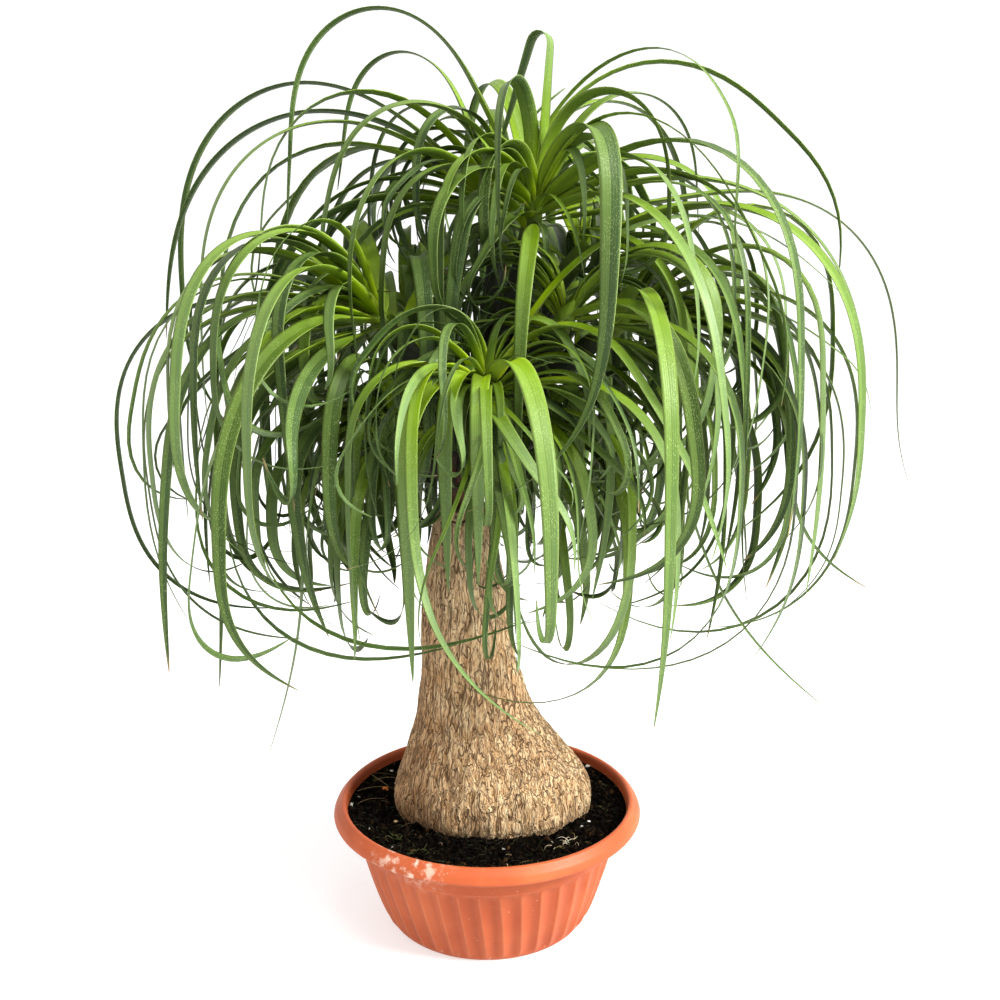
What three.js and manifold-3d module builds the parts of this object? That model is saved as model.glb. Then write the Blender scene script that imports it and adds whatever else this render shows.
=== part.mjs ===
// A ponytail palm in a round bowl pot: a swollen trunk that carries a crown of rosettes with long leaves.
// Millimetres, +Z up, the front towards -Y. The origin is the centre of the pot's underside.
import * as THREE from 'three';
import { mergeVertices } from 'three/addons/utils/BufferGeometryUtils.js';
import Module from 'manifold-3d';

const wasm = await Module();
wasm.setup();

// Pot: a moulded bowl with hollow flutes under a rolled lip. A flute is deepest past its middle, and the
// edges between them slant round the bowl.
// The neck leans out from the body to under the lip, and a crest runs round the lip's top.
// Inside, the throat drops from the crest and narrows to the neck.
const POT_HEIGHT = 121;
const LIP_RADIUS = 150;
const LIP_LOW = 106.5;
const CREST_RADIUS = 140.5;
const NECK_RADIUS = 128;
const BODY_RADIUS = 124.5;
const BASE_RADIUS = 95;
const FLUTE_TOP = 83;
const FLUTE_ROWS = [14, 46, 79];
const FLUTES = 40;
const FLUTE_DEPTH = 3;
const FLUTE_OUT = 0.4;
const FLUTE_LEAN = 0.24;
const FLUTE_SLANT = 0.06;
const FLUTE_TURN = -0.054;
const BOWL_BEND = 0.72;
const BOWL_ROW = 44;
const FLOOR_RADIUS = 91;
const WALL = 3;
const THROAT_RADIUS = 136.5;
const THROAT_LOW = 110;
const NECK_INSIDE = 125.2;
const NECK_TOP = 104;
const LIP_HOLLOW = [141, 109.5];
const DRAIN_HOLES = 6;
const DRAIN_RING = 62;
const DRAIN_RADIUS = 5;
const DRAIN_SIDES = 12;

// Soil: radius and height from the throat, where it stands highest, to the middle of the bowl.
const SOIL_RIM = 110.8;
const SOIL_TOP = [[124, 108.5], [112, 106], [96, 104.5], [70, 104], [0, 105]];
const SOIL_LUMP = 1.6;
const SOIL_SIDES = 40;
const GAP = 0.4;

// Trunk: height, centre x and y, half width across and half width front to back.
const TRUNK = [
  [68, 6, 16, 62, 50],
  [82, 6, 16, 84, 67],
  [100, 5, 16, 94, 75],
  [113, 5, 16, 98, 79],
  [128, 4, 16, 96, 78],
  [150, 2, 16, 86.5, 73],
  [174, -4, 15, 73.5, 64],
  [192, -8, 15, 63, 57],
  [213, -12, 14, 54.5, 50],
  [234, -14, 13, 50, 47],
  [280, -20, 12, 43, 42],
  [329, -21.5, 12, 39, 38],
  [366, -22, 12, 33, 33],
  [394, -22, 12, 29, 29],
  [412, -22, 12, 25, 25],
];
const TRUNK_SEEN = 97;
const TRUNK_SIDES = 24;
const TRUNK_LONG = 30;
const BARK_RELIEF = 0.012;
const SHOOT_START = new THREE.Vector3(-22, 12, 395);
const SHOOT_RADIUS = 11;
const SHOOT_SIDES = 7;
const SHOOT_STEPS = 5;
const SHOOT_RISE = 0.4;
const SHOOT_BEND = 0.35;

// A rosette's core, from its foot on the shoot to its tip, about the rosette's middle.
const CORE_FOOT = 34;
const CORE_PROFILE = [[0, -CORE_FOOT], [13, -CORE_FOOT], [15, -12], [0, 20]];
const CORE_SIDES = 6;

// Rosettes: where the middle of each lies, the way it leans (compass from +X towards +Y, and up),
// how many leaves grow by rule, how long they are and where the first one points.
const HEADS = [
  { name: 'front', at: [2, -95, 533], lean: [272, 48], leaves: 5, length: 330, phase: 20 },
  { name: 'top', at: [43, 0, 685], lean: [290, 80], leaves: 18, length: 500, phase: 50 },
  { name: 'left', at: [-94, -30, 589], lean: [190, 40], leaves: 22, length: 540, phase: 10 },
  { name: 'right', at: [122, 0, 582], lean: [0, 38], leaves: 22, length: 540, phase: 200 },
  { name: 'middle', at: [70, -56, 592], lean: [300, 55], leaves: 18, length: 480, phase: 80 },
  { name: 'upper', at: [90, 32, 646], lean: [20, 50], leaves: 18, length: 540, phase: 300 },
  { name: 'crown', at: [12, 55, 690], lean: [110, 78], leaves: 18, length: 520, phase: 130 },
  { name: 'low_right', at: [52, 10, 480], lean: [325, 15], leaves: 15, length: 420, phase: 250 },
  { name: 'low_left', at: [-92, -14, 478], lean: [200, 8], leaves: 15, length: 420, phase: 170 },
  { name: 'back_left', at: [-80, 95, 590], lean: [135, 42], leaves: 20, length: 540, phase: 40 },
  { name: 'back_right', at: [80, 105, 600], lean: [45, 42], leaves: 20, length: 540, phase: 70 },
  { name: 'back_low', at: [-10, 110, 500], lean: [92, 20], leaves: 16, length: 450, phase: 0 },
];

// Leaves that show one by one. A leaf sets out at its compass angle and its rise, keeps to it for the
// straight part of its length, has bent over to its fall at the part named bent, and turns by curl from
// there to its tip. Sweep turns it sideways on the way, twist rolls it, and width is across its widest.
const LEAF_KEYS = [
  'head', 'compass', 'rise', 'length', 'straight', 'bent', 'fall', 'curl', 'sweep', 'twist', 'width',
];
const SHOWN_LEAVES = [
  ['top', 170, 62, 460, 0.2, 0.8, -85, 0, 0, 15, 15],
  ['crown', 158, 65, 320, 0.22, 0.83, -80, 0, 0, 15, 12],
  ['top', 150, 96, 250, 0.46, 0.6, -70, 0, 0, 10, 18],
  ['top', 20, 60, 300, 0.12, 0.84, -85, 0, 0, 20, 16],
  ['top', 300, 50, 500, 0, 0.5, -85, 65, -120, 20, 19],
  ['top', 228, 50, 350, 0, 0.5, -90, -10, 0, 30, 13],
  ['top', 206, 40, 400, 0, 0.5, -85, -130, 0, 0, 15],
  ['top', 352, 21, 450, 0, 0.95, -88, 0, 0, 20, 18],
  ['upper', 335, 32, 500, 0, 0.75, -88, -20, 0, 25, 20],
  ['top', 8, 9, 590, 0.2, 0.77, -86, 25, 0, 20, 14],
  ['crown', 176, 40, 470, 0, 0.98, -85, 0, 0, 20, 17],
  ['crown', 195, 36, 490, 0.05, 0.8, -88, -5, 0, -20, 14],
  ['crown', 166, 40, 640, 0.08, 0.75, -90, -40, 0, 30, 11],
  ['left', 186, 10, 540, 0.1, 0.6, -95, -85, 0, 10, 16],
  ['left', 200, 10, 520, 0.05, 0.58, -95, -75, 0, 10, 15],
  ['left', 172, 20, 480, 0, 0.45, -90, 5, 0, 40, 11],
  ['low_left', 215, 0, 330, 0, 0.35, -88, 20, 0, 20, 11],
  ['front', 236, 24, 320, 0, 0.5, -92, 0, 0, -10, 18],
  ['front', 247, 34, 235, 0, 0.5, -92, 0, 0, 10, 17],
  ['front', 266, 30, 225, 0, 0.55, -88, 0, 0, 10, 15],
  ['front', 282, 28, 400, 0, 0.8, -90, -170, 0, 10, 17],
  ['front', 330, 20, 330, 0, 0.75, -88, -10, 0, 10, 17],
  ['front', 212, 35, 330, 0, 0.55, -88, -10, 0, 10, 18],
  ['front', 233, 35, 410, 0, 0.4, -80, 45, 150, 10, 10],
  ['front', 15, 64, 430, 0, 0.95, -40, -10, 0, 25, 14],
  ['front', 340, 60, 330, 0, 0.5, -55, -15, -10, 20, 18],
  ['middle', 196, 48, 330, 0, 0.62, -85, -60, 25, 30, 17],
  ['middle', 238, 42, 270, 0, 0.7, -70, -90, -40, 30, 16],
  ['middle', 170, 62, 420, 0, 0.8, -88, -30, 10, 20, 14],
  ['top', 262, 5, 330, 0, 0.6, -85, -40, -45, 30, 15],
  ['upper', 215, 20, 360, 0, 0.7, -85, -50, 30, 30, 15],
  ['right', 355, 12, 450, 0, 0.68, -92, -50, 0, 15, 19],
  ['right', 335, 5, 430, 0, 0.6, -90, -30, 0, 15, 17],
  ['right', 5, 22, 600, 0, 0.55, -92, -95, 0, 10, 13],
  ['low_right', 345, 20, 400, 0, 0.4, -72, 35, 0, 10, 10],
];

// Where leaves are rooted in a core: how far along its axis if level or upright, and how far out.
const ROOT_LOW = -20;
const ROOT_HIGH = 12;
const ROOT_DROOP = -0.2;
const ROOT_RING = 9;

// The rule for the other leaves: each next one is turned by the golden angle, and they open with age.
const GOLDEN_ANGLE = 137.50776;
const OPEN_YOUNG = 14;
const OPEN_OLD = 86;
const OPEN_BEND = 0.75;
const LOWEST_RISE = -35;
const YOUNG_LENGTH = 0.7;
const YOUNG_WIDTH = 0.8;
const LEAF_WIDTH = 17;
const RULE = {
  open: [-6, 6],
  length: [0.88, 1.1],
  fall: [-98, -76],
  straight: [0, 0.1],
  bent: [0.5, 0.72],
  curl: [-120, 0],
  sweep: [-45, 45],
  twist: [-75, 75],
  width: [0.7, 1.05],
};

// Only the front rosette's own leaves grow in the space before it, so that its heart is seen.
const CLEAR_SIDES = [-70, 90];
const CLEAR_FRONT = -105;
const CLEAR_LOW = 440;

// How far the last try for a leaf may stray from its first thought, and how far the crown reaches.
const TRIES = 200;
const STRICT_TRIES = 160;
const NUDGE_SHOWN = { compass: 8, rise: 8, sweep: 8, curl: [0, 0], shorter: 0 };
const NUDGE_RULED = { compass: 90, rise: 27, sweep: 27, curl: [-45, 18], shorter: 0.6 };
const CROWN_REACH = 358;
const CROWN_LOW = 275;
const CROWN_LOW_SPREAD = 75;
const LEAF_SEED = 7919;
const HEAD_SEED = 104729;
const SEED = 17;

// A leaf's curve is stepped finely. Its solid has a few of the steps as sections, closer where it turns
// more, with this much turning, in radians, counted for its length and this share of its roll.
const FINE_STEPS = 64;
const SECTIONS = 7;
const TURN_FOR_LENGTH = 1;
const TURN_FOR_ROLL = 0.3;
const KEEL_ROOT = 2.2;
const KEEL_TIP = 1.1;

// The space round the crown in cells, each marked with whose leaf stands in it or next to it.
const CELL = 3.2;
const CELLS = [325, 325, 300];
const CORNER = [-520.3, -520.3, -20.3];
const SAMPLE_STEP = 2.4;
const LANES = [-1, -0.67, -0.33, 0, 0.33, 0.67, 1];
const TRUNK_LANES = 200;
const BALL_RINGS = 8;
const BALL_SIDES = 48;
const SHOOT_MARKS = 24;
const TRUNK_OWNER = 99;
const SHARED = 120;
const CORE_BALL = 24;
const CORE_BALL_LOW = 10;
const CORE_FREE = 26;
const ROSETTE_FREE = 38;

const LEAF_GREEN = new THREE.MeshStandardMaterial({ color: 0x4c7a2c, roughness: 0.45 });
const BARK = new THREE.MeshStandardMaterial({ color: 0xb08d62, roughness: 0.9 });
const PEAT = new THREE.MeshStandardMaterial({ color: 0x2a211b, roughness: 1 });
const TERRACOTTA = new THREE.MeshStandardMaterial({ color: 0xc8694a, roughness: 0.45 });

const radians = THREE.MathUtils.degToRad;

function direction(compass, up) {
  const a = radians(compass);
  const e = radians(up);
  return new THREE.Vector3(Math.cos(e) * Math.cos(a), Math.cos(e) * Math.sin(a), Math.sin(e));
}

function smooth(x) {
  const t = Math.min(1, Math.max(0, x));
  return t * t * (3 - 2 * t);
}

// A small seeded generator, so that the plant is the same each time.
class Random {
  constructor(seed) {
    this.state = seed >>> 0;
    for (let i = 0; i < 3; i += 1) this.next();
  }

  next() {
    this.state = (Math.imul(this.state, 1664525) + 1013904223) >>> 0;
    return this.state / 4294967296;
  }

  between([low, high]) {
    return low + (high - low) * this.next();
  }
}

// Solids: a closed mesh becomes a solid to join or cut, and goes back to a geometry at the end.
function toSolid(geometry) {
  const bare = new THREE.BufferGeometry();
  bare.setAttribute('position', geometry.getAttribute('position'));
  if (geometry.index) bare.setIndex(geometry.index);
  const merged = mergeVertices(bare, 1e-3);
  const corner = merged.index.array;
  const place = merged.getAttribute('position').array;
  const faces = [];
  let volume = 0;
  for (let i = 0; i < corner.length; i += 3) {
    const [a, b, c] = [corner[i], corner[i + 1], corner[i + 2]];
    if (a === b || b === c || c === a) continue;
    faces.push(a, b, c);
    const [p, q, r] = [a, b, c].map((k) => new THREE.Vector3().fromArray(place, 3 * k));
    volume += p.dot(q.cross(r));
  }
  if (volume < 0) faces.reverse();
  return new wasm.Manifold(new wasm.Mesh({
    numProp: 3,
    vertProperties: new Float32Array(place),
    triVerts: new Uint32Array(faces),
  }));
}

// Joins pieces into one body, without the small pockets that touching leaves close off.
function fused(pieces) {
  const shells = wasm.Manifold.union(pieces.map(toSolid)).decompose();
  return toGeometry(shells.reduce((a, b) => (a.volume() > b.volume() ? a : b)));
}

function toGeometry(solid) {
  const mesh = solid.getMesh();
  const geometry = new THREE.BufferGeometry();
  geometry.setAttribute('position', new THREE.BufferAttribute(new Float32Array(mesh.vertProperties), 3));
  geometry.setIndex(new THREE.BufferAttribute(new Uint32Array(mesh.triVerts), 1));
  return geometry;
}

// Whether point d is above the triangle of points a, b and c.
function risesAbove(points, a, b, c, d) {
  const [ab, ac, ad] = [b, c, d].map((n) => points[n].clone().sub(points[a]));
  return ab.cross(ac).dot(ad) > 0;
}

// A closed skin over rings with the same number of points. The last ring may be a single point.
// A twisted skin has each of its patches folded outwards, so that no two of them meet.
function skin(rings, twisted = false) {
  const points = [];
  const faces = [];
  const starts = rings.map((ring) => {
    points.push(...ring);
    return points.length - ring.length;
  });
  for (let i = 0; i + 1 < rings.length; i += 1) {
    const sides = Math.max(rings[i].length, rings[i + 1].length);
    for (let k = 0; k < sides; k += 1) {
      const low = [k, (k + 1) % sides].map((n) => starts[i] + (n % rings[i].length));
      const high = [k, (k + 1) % sides].map((n) => starts[i + 1] + (n % rings[i + 1].length));
      if (twisted && high[0] !== high[1] && risesAbove(points, low[0], low[1], high[1], high[0])) {
        faces.push(low[0], low[1], high[0], low[1], high[1], high[0]);
      } else {
        faces.push(low[0], low[1], high[1], low[0], high[1], high[0]);
      }
    }
  }
  for (const [i, flip] of [[0, true], [rings.length - 1, false]]) {
    for (let k = 1; k + 1 < rings[i].length; k += 1) {
      const cap = [starts[i], starts[i] + k, starts[i] + k + 1];
      faces.push(...(flip ? cap.reverse() : cap));
    }
  }
  const geometry = new THREE.BufferGeometry().setFromPoints(points);
  geometry.setIndex(faces);
  return geometry;
}

// The solid of a closed half profile of [radius, height] points, turned round the Z axis.
function turned(profile, segments) {
  const geometry = new THREE.LatheGeometry(profile.map(([r, z]) => new THREE.Vector2(r, z)), segments);
  return geometry.rotateX(Math.PI / 2);
}

// Moves each point of a geometry by a function of its radius, angle and height.
function reshape(geometry, move) {
  const place = geometry.getAttribute('position');
  for (let i = 0; i < place.count; i += 1) {
    const [x, y, z] = [place.getX(i), place.getY(i), place.getZ(i)];
    const [radius, angle, height] = move(Math.hypot(x, y), Math.atan2(y, x), z);
    place.setXYZ(i, radius * Math.cos(angle), radius * Math.sin(angle), height);
  }
  return geometry;
}

// The bowl's outer wall under the neck: a slow curve from the base up to the flutes' top.
function bodyRadius(z) {
  return BASE_RADIUS + (BODY_RADIUS - BASE_RADIUS) * Math.pow(z / FLUTE_TOP, BOWL_BEND);
}

function innerRadius(z) {
  if (z <= FLUTE_TOP) return bodyRadius(z) - WALL;
  return BODY_RADIUS - WALL + (NECK_INSIDE + WALL - BODY_RADIUS) * (z - FLUTE_TOP) / (NECK_TOP - FLUTE_TOP);
}

function pot() {
  const profile = [
    [0, 0],
    [BASE_RADIUS, 0],
    ...FLUTE_ROWS.map((z) => [bodyRadius(z), z]),
    [BODY_RADIUS, FLUTE_TOP],
    [BODY_RADIUS + 1, FLUTE_TOP + 1.5],
    [NECK_RADIUS, NECK_TOP],
    LIP_HOLLOW,
    [LIP_RADIUS - 3.2, LIP_LOW],
    [LIP_RADIUS - 1, LIP_LOW],
    [LIP_RADIUS, LIP_LOW + 4.5],
    [LIP_RADIUS - 3.5, POT_HEIGHT - 4],
    [CREST_RADIUS + 2, POT_HEIGHT],
    [CREST_RADIUS - 3, POT_HEIGHT - 1],
    [THROAT_RADIUS, THROAT_LOW],
    ...[NECK_TOP, FLUTE_TOP, BOWL_ROW].map((z) => [innerRadius(z), z]),
    [FLOOR_RADIUS, WALL],
    [0, WALL],
  ];
  const step = Math.PI / FLUTES;
  const body = reshape(turned(profile, 2 * FLUTES), (radius, angle, z) => {
    const fluted = z > WALL && z < FLUTE_TOP - 1 && radius > innerRadius(z) + WALL / 2;
    if (!fluted) return [radius, angle, z];
    const hollow = Math.abs(Math.round(angle / step)) % 2 === 1;
    const slanted = angle + FLUTE_TURN + FLUTE_SLANT * (1 - z / FLUTE_TOP);
    if (hollow) return [radius - (1 - FLUTE_OUT) * FLUTE_DEPTH, slanted + FLUTE_LEAN * step, z];
    return [radius + FLUTE_OUT * FLUTE_DEPTH, slanted, z];
  });
  let solid = toSolid(body);
  for (let i = 0; i < DRAIN_HOLES; i += 1) {
    const a = 2 * Math.PI * i / DRAIN_HOLES;
    const drill = new THREE.CylinderGeometry(DRAIN_RADIUS, DRAIN_RADIUS, 4 * WALL, DRAIN_SIDES);
    drill.rotateX(Math.PI / 2);
    drill.translate(DRAIN_RING * Math.cos(a), DRAIN_RING * Math.sin(a), 0);
    solid = solid.subtract(toSolid(drill));
  }
  return toGeometry(solid);
}

// The trunk's centre and half widths at any height, straight between the rows of its table.
function trunkAt(z) {
  let i = 0;
  while (i < TRUNK.length - 2 && z > TRUNK[i + 1][0]) i += 1;
  const t = Math.min(1, Math.max(0, (z - TRUNK[i][0]) / (TRUNK[i + 1][0] - TRUNK[i][0])));
  return [1, 2, 3, 4].map((k) => TRUNK[i][k] * (1 - t) + TRUNK[i + 1][k] * t);
}

// The bark's slow ridges, round the trunk and up it.
function barkRidge(a, z) {
  return 1 + BARK_RELIEF * (Math.sin(11 * a + z / 19) + Math.sin(7 * a - z / 31));
}

// The trunk's rings, or with a gap the rings of the hole that it stands in.
function trunkRings(gap) {
  const heights = [];
  for (let i = 0; i + 1 < TRUNK.length; i += 1) {
    const [low, high] = [TRUNK[i][0], TRUNK[i + 1][0]];
    heights.push(low);
    if (high - low > TRUNK_LONG) heights.push((low + high) / 2);
  }
  heights.push(TRUNK[TRUNK.length - 1][0]);
  return heights.map((z, row) => {
    const [x, y, across, deep] = trunkAt(z);
    const low = row === 0 ? gap : 0;
    return Array.from({ length: TRUNK_SIDES }, (_, k) => {
      const a = 2 * Math.PI * k / TRUNK_SIDES;
      const ridge = barkRidge(a, z);
      return new THREE.Vector3(
        x + (across * ridge + gap) * Math.cos(a),
        y + (deep * ridge + gap) * Math.sin(a),
        z - low,
      );
    });
  });
}

// The soft line of the shoot that carries a rosette, from the trunk's top to the end it is given.
function shootLine(end, axis) {
  const span = end.distanceTo(SHOOT_START);
  return new THREE.CubicBezierCurve3(
    SHOOT_START,
    SHOOT_START.clone().add(new THREE.Vector3(0, 0, span * SHOOT_RISE)),
    end.clone().addScaledVector(axis, -span * SHOOT_BEND),
    end,
  );
}

// A shoot ends just under its rosette's core.
function shoot(head) {
  const foot = head.middle.clone().addScaledVector(head.axis, -CORE_FOOT - GAP);
  const section = new THREE.Shape(Array.from({ length: SHOOT_SIDES }, (_, k) => {
    const a = 2 * Math.PI * k / SHOOT_SIDES;
    return new THREE.Vector2(SHOOT_RADIUS * Math.cos(a), SHOOT_RADIUS * Math.sin(a));
  }));
  const path = shootLine(foot, head.axis);
  return new THREE.ExtrudeGeometry(section, { steps: SHOOT_STEPS, extrudePath: path, curveSegments: 1 });
}

function trunk(heads) {
  return fused([skin(trunkRings(0)), ...heads.map(shoot)]);
}

function soil() {
  const profile = [
    [0, WALL + GAP],
    [FLOOR_RADIUS - GAP, WALL + GAP],
    ...[BOWL_ROW, FLUTE_TOP, NECK_TOP].map((z) => [innerRadius(z) - GAP, z]),
    [THROAT_RADIUS - GAP, THROAT_LOW + GAP / 2],
    [THROAT_RADIUS - GAP, SOIL_RIM],
    ...SOIL_TOP,
  ];
  const bed = reshape(turned(profile, SOIL_SIDES), (radius, angle, z) => {
    if (z <= NECK_TOP || radius > SOIL_TOP[0][0] + 1 || radius < 1) return [radius, angle, z];
    const lump = Math.sin(5 * angle + radius / 9) * Math.cos(9 * angle - radius / 13);
    return [radius, angle, z + SOIL_LUMP * lump];
  });
  return toGeometry(toSolid(bed).subtract(toSolid(skin(trunkRings(GAP)))));
}

// The cells of the crown's space.
class Space {
  constructor() {
    this.owner = new Uint8Array(CELLS[0] * CELLS[1] * CELLS[2]);
  }

  cell(p, k) {
    return Math.floor((p.getComponent(k) - CORNER[k]) / CELL);
  }

  at(p) {
    return this.owner[(this.cell(p, 0) * CELLS[1] + this.cell(p, 1)) * CELLS[2] + this.cell(p, 2)];
  }

  mark(points, owner) {
    for (const p of points) {
      const [x, y, z] = [0, 1, 2].map((k) => this.cell(p, k));
      for (let i = x - 1; i <= x + 1; i += 1) {
        for (let j = y - 1; j <= y + 1; j += 1) {
          for (let k = z - 1; k <= z + 1; k += 1) {
            const n = (i * CELLS[1] + j) * CELLS[2] + k;
            const now = this.owner[n];
            this.owner[n] = now === 0 || now === owner ? owner : SHARED;
          }
        }
      }
    }
  }
}

// Points all over a ball, for marking the cells that it takes up.
function ball(middle, radius) {
  const points = [];
  for (let i = -BALL_RINGS; i <= BALL_RINGS; i += 1) {
    const up = 90 * i / BALL_RINGS;
    for (let k = 0; k < BALL_SIDES; k += 1) {
      const way = direction(360 * k / BALL_SIDES, up);
      points.push(middle.clone().addScaledVector(way, radius));
    }
  }
  return points;
}

function trunkSurface() {
  const points = [];
  for (let z = TRUNK_SEEN; z < TRUNK[TRUNK.length - 1][0]; z += SAMPLE_STEP) {
    const [x, y, across, deep] = trunkAt(z);
    for (let k = 0; k < TRUNK_LANES; k += 1) {
      const a = 2 * Math.PI * k / TRUNK_LANES;
      points.push(new THREE.Vector3(x + across * Math.cos(a), y + deep * Math.sin(a), z));
    }
  }
  return points;
}

// Half a leaf's width: narrow at the sheath, widest near a quarter of its length, drawn out to its tip.
function halfWidth(width, t) {
  const drawnOut = Math.pow(Math.max(0, 1 - Math.pow(t, 2.1)), 0.8);
  return width / 2 * (0.45 + 0.55 * smooth(t / 0.24)) * drawnOut + 0.35;
}

// The leaf's fine curve: its middle, its sideways direction and its half width at each step.
function leafCurve(leaf) {
  const step = leaf.length / FINE_STEPS;
  const at = leaf.root.clone();
  const curve = [];
  for (let i = 0; i <= FINE_STEPS; i += 1) {
    const t = i / FINE_STEPS;
    const over = smooth((t - leaf.straight) / (leaf.bent - leaf.straight));
    const hooked = smooth((t - leaf.bent) / (1.0001 - leaf.bent));
    const rise = leaf.rise + (leaf.fall - leaf.rise) * over + leaf.curl * hooked;
    const compass = leaf.compass + leaf.sweep * Math.pow(t, 1.5);
    const along = direction(compass, rise);
    const flat = direction(compass + 90, 0);
    const roll = radians(leaf.twist * t);
    const side = flat.clone().multiplyScalar(Math.cos(roll));
    side.addScaledVector(along.clone().cross(flat), Math.sin(roll));
    curve.push({ t, at: at.clone(), side, along, up: radians(rise), roll, half: halfWidth(leaf.width, t) });
    at.addScaledVector(along, step);
  }
  return curve;
}

function leafSections(leaf) {
  const curve = leafCurve(leaf);
  const turned = [0];
  for (let i = 1; i <= FINE_STEPS; i += 1) {
    const [a, b] = [curve[i - 1], curve[i]];
    const turn = Math.abs(b.up - a.up) + TURN_FOR_ROLL * Math.abs(b.roll - a.roll);
    turned.push(turned[i - 1] + turn + TURN_FOR_LENGTH / FINE_STEPS);
  }
  const whole = turned[FINE_STEPS];
  return Array.from({ length: SECTIONS }, (_, k) => {
    const share = whole * k / (SECTIONS - 1) - 1e-9;
    return curve[turned.findIndex((sum) => sum >= share)];
  });
}

// Points all over a leaf's faces, close enough together that no other leaf slips between them.
function leafSurface(sections) {
  const points = [];
  for (let i = 0; i + 1 < sections.length; i += 1) {
    const [a, b] = [sections[i], sections[i + 1]];
    const steps = Math.max(1, Math.ceil(a.at.distanceTo(b.at) / SAMPLE_STEP));
    const [edgeA, edgeB] = [a, b].map((s) => s.side.clone().multiplyScalar(s.half));
    for (let k = 0; k < steps; k += 1) {
      const middle = a.at.clone().lerp(b.at, k / steps);
      const edge = edgeA.clone().lerp(edgeB, k / steps);
      for (const lane of LANES) points.push(middle.clone().addScaledVector(edge, lane));
    }
  }
  points.push(sections[sections.length - 1].at.clone());
  return points;
}

// Older, flatter leaves leave the core lower down.
function leafRoot(head, leaf) {
  const out = direction(leaf.compass, leaf.rise);
  const steep = head.axis.dot(out);
  const aside = out.addScaledVector(head.axis, -steep);
  const height = ROOT_LOW + (ROOT_HIGH - ROOT_LOW) * Math.max(ROOT_DROOP, steep);
  return head.middle.clone().addScaledVector(head.axis, height).addScaledVector(aside, ROOT_RING);
}

// The rule's first thought for leaf number i of a head, 0 being the youngest, in the middle.
function ruledLeaf(head, i, random) {
  const age = (i + 0.5) / head.leaves;
  const grown = Math.sqrt(age);
  const spin = radians(head.phase + i * GOLDEN_ANGLE);
  const wide = OPEN_YOUNG + (OPEN_OLD - OPEN_YOUNG) * Math.pow(age, OPEN_BEND);
  const open = radians(wide + random.between(RULE.open));
  const flat = head.axis.clone().cross(new THREE.Vector3(0, 0, 1)).normalize();
  const other = flat.clone().cross(head.axis);
  const outward = flat.multiplyScalar(Math.cos(spin)).addScaledVector(other, Math.sin(spin));
  const way = head.axis.clone().multiplyScalar(Math.cos(open)).addScaledVector(outward, Math.sin(open));
  const rise = THREE.MathUtils.radToDeg(Math.asin(Math.min(1, Math.max(-1, way.z))));
  return {
    compass: THREE.MathUtils.radToDeg(Math.atan2(way.y, way.x)),
    rise: Math.max(LOWEST_RISE, rise),
    length: head.length * (YOUNG_LENGTH + (1 - YOUNG_LENGTH) * grown) * random.between(RULE.length),
    fall: random.between(RULE.fall),
    straight: random.between(RULE.straight),
    bent: random.between(RULE.bent),
    curl: random.between(RULE.curl),
    sweep: random.between(RULE.sweep),
    twist: random.between(RULE.twist),
    width: LEAF_WIDTH * random.between(RULE.width) * (YOUNG_WIDTH + (1 - YOUNG_WIDTH) * grown),
  };
}

function nudged(first, nudge, part, random) {
  const leaf = { ...first };
  for (const key of ['compass', 'rise', 'sweep']) {
    leaf[key] += random.between([-nudge[key], nudge[key]]) * part;
  }
  leaf.curl += random.between(nudge.curl) * part;
  leaf.length *= 1 - nudge.shorter * part * random.next();
  return leaf;
}

// Whether a point lies in the space before the front rosette, which the other rosettes keep clear.
function beforeFront(p) {
  return p.y < CLEAR_FRONT && p.z > CLEAR_LOW && p.x > CLEAR_SIDES[0] && p.x < CLEAR_SIDES[1];
}

// Tries a leaf, and strays a little more each time, until it runs clear of what already stands.
function settle(first, head, shown, space, random) {
  const lowest = shown ? 0 : CROWN_LOW + CROWN_LOW_SPREAD * random.next();
  const reach = shown ? Infinity : CROWN_REACH;
  const aside = !shown && head.name !== 'front';
  for (let k = 0; k < TRIES; k += 1) {
    const leaf = nudged(first, shown ? NUDGE_SHOWN : NUDGE_RULED, k / TRIES, random);
    leaf.root = leafRoot(head, leaf);
    const sections = leafSections(leaf);
    const surface = leafSurface(sections);
    const free = k < STRICT_TRIES && !shown ? ROSETTE_FREE : Infinity;
    const clear = surface.every((p) => {
      if (p.z < lowest || Math.hypot(p.x, p.y) > reach || (aside && beforeFront(p))) return false;
      const far = p.distanceTo(head.middle);
      const owner = space.at(p);
      return owner === 0 || far <= CORE_FREE || (owner === head.number && far < free);
    });
    if (clear) {
      space.mark(surface, head.number);
      return sections;
    }
  }
  return null;
}

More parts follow.
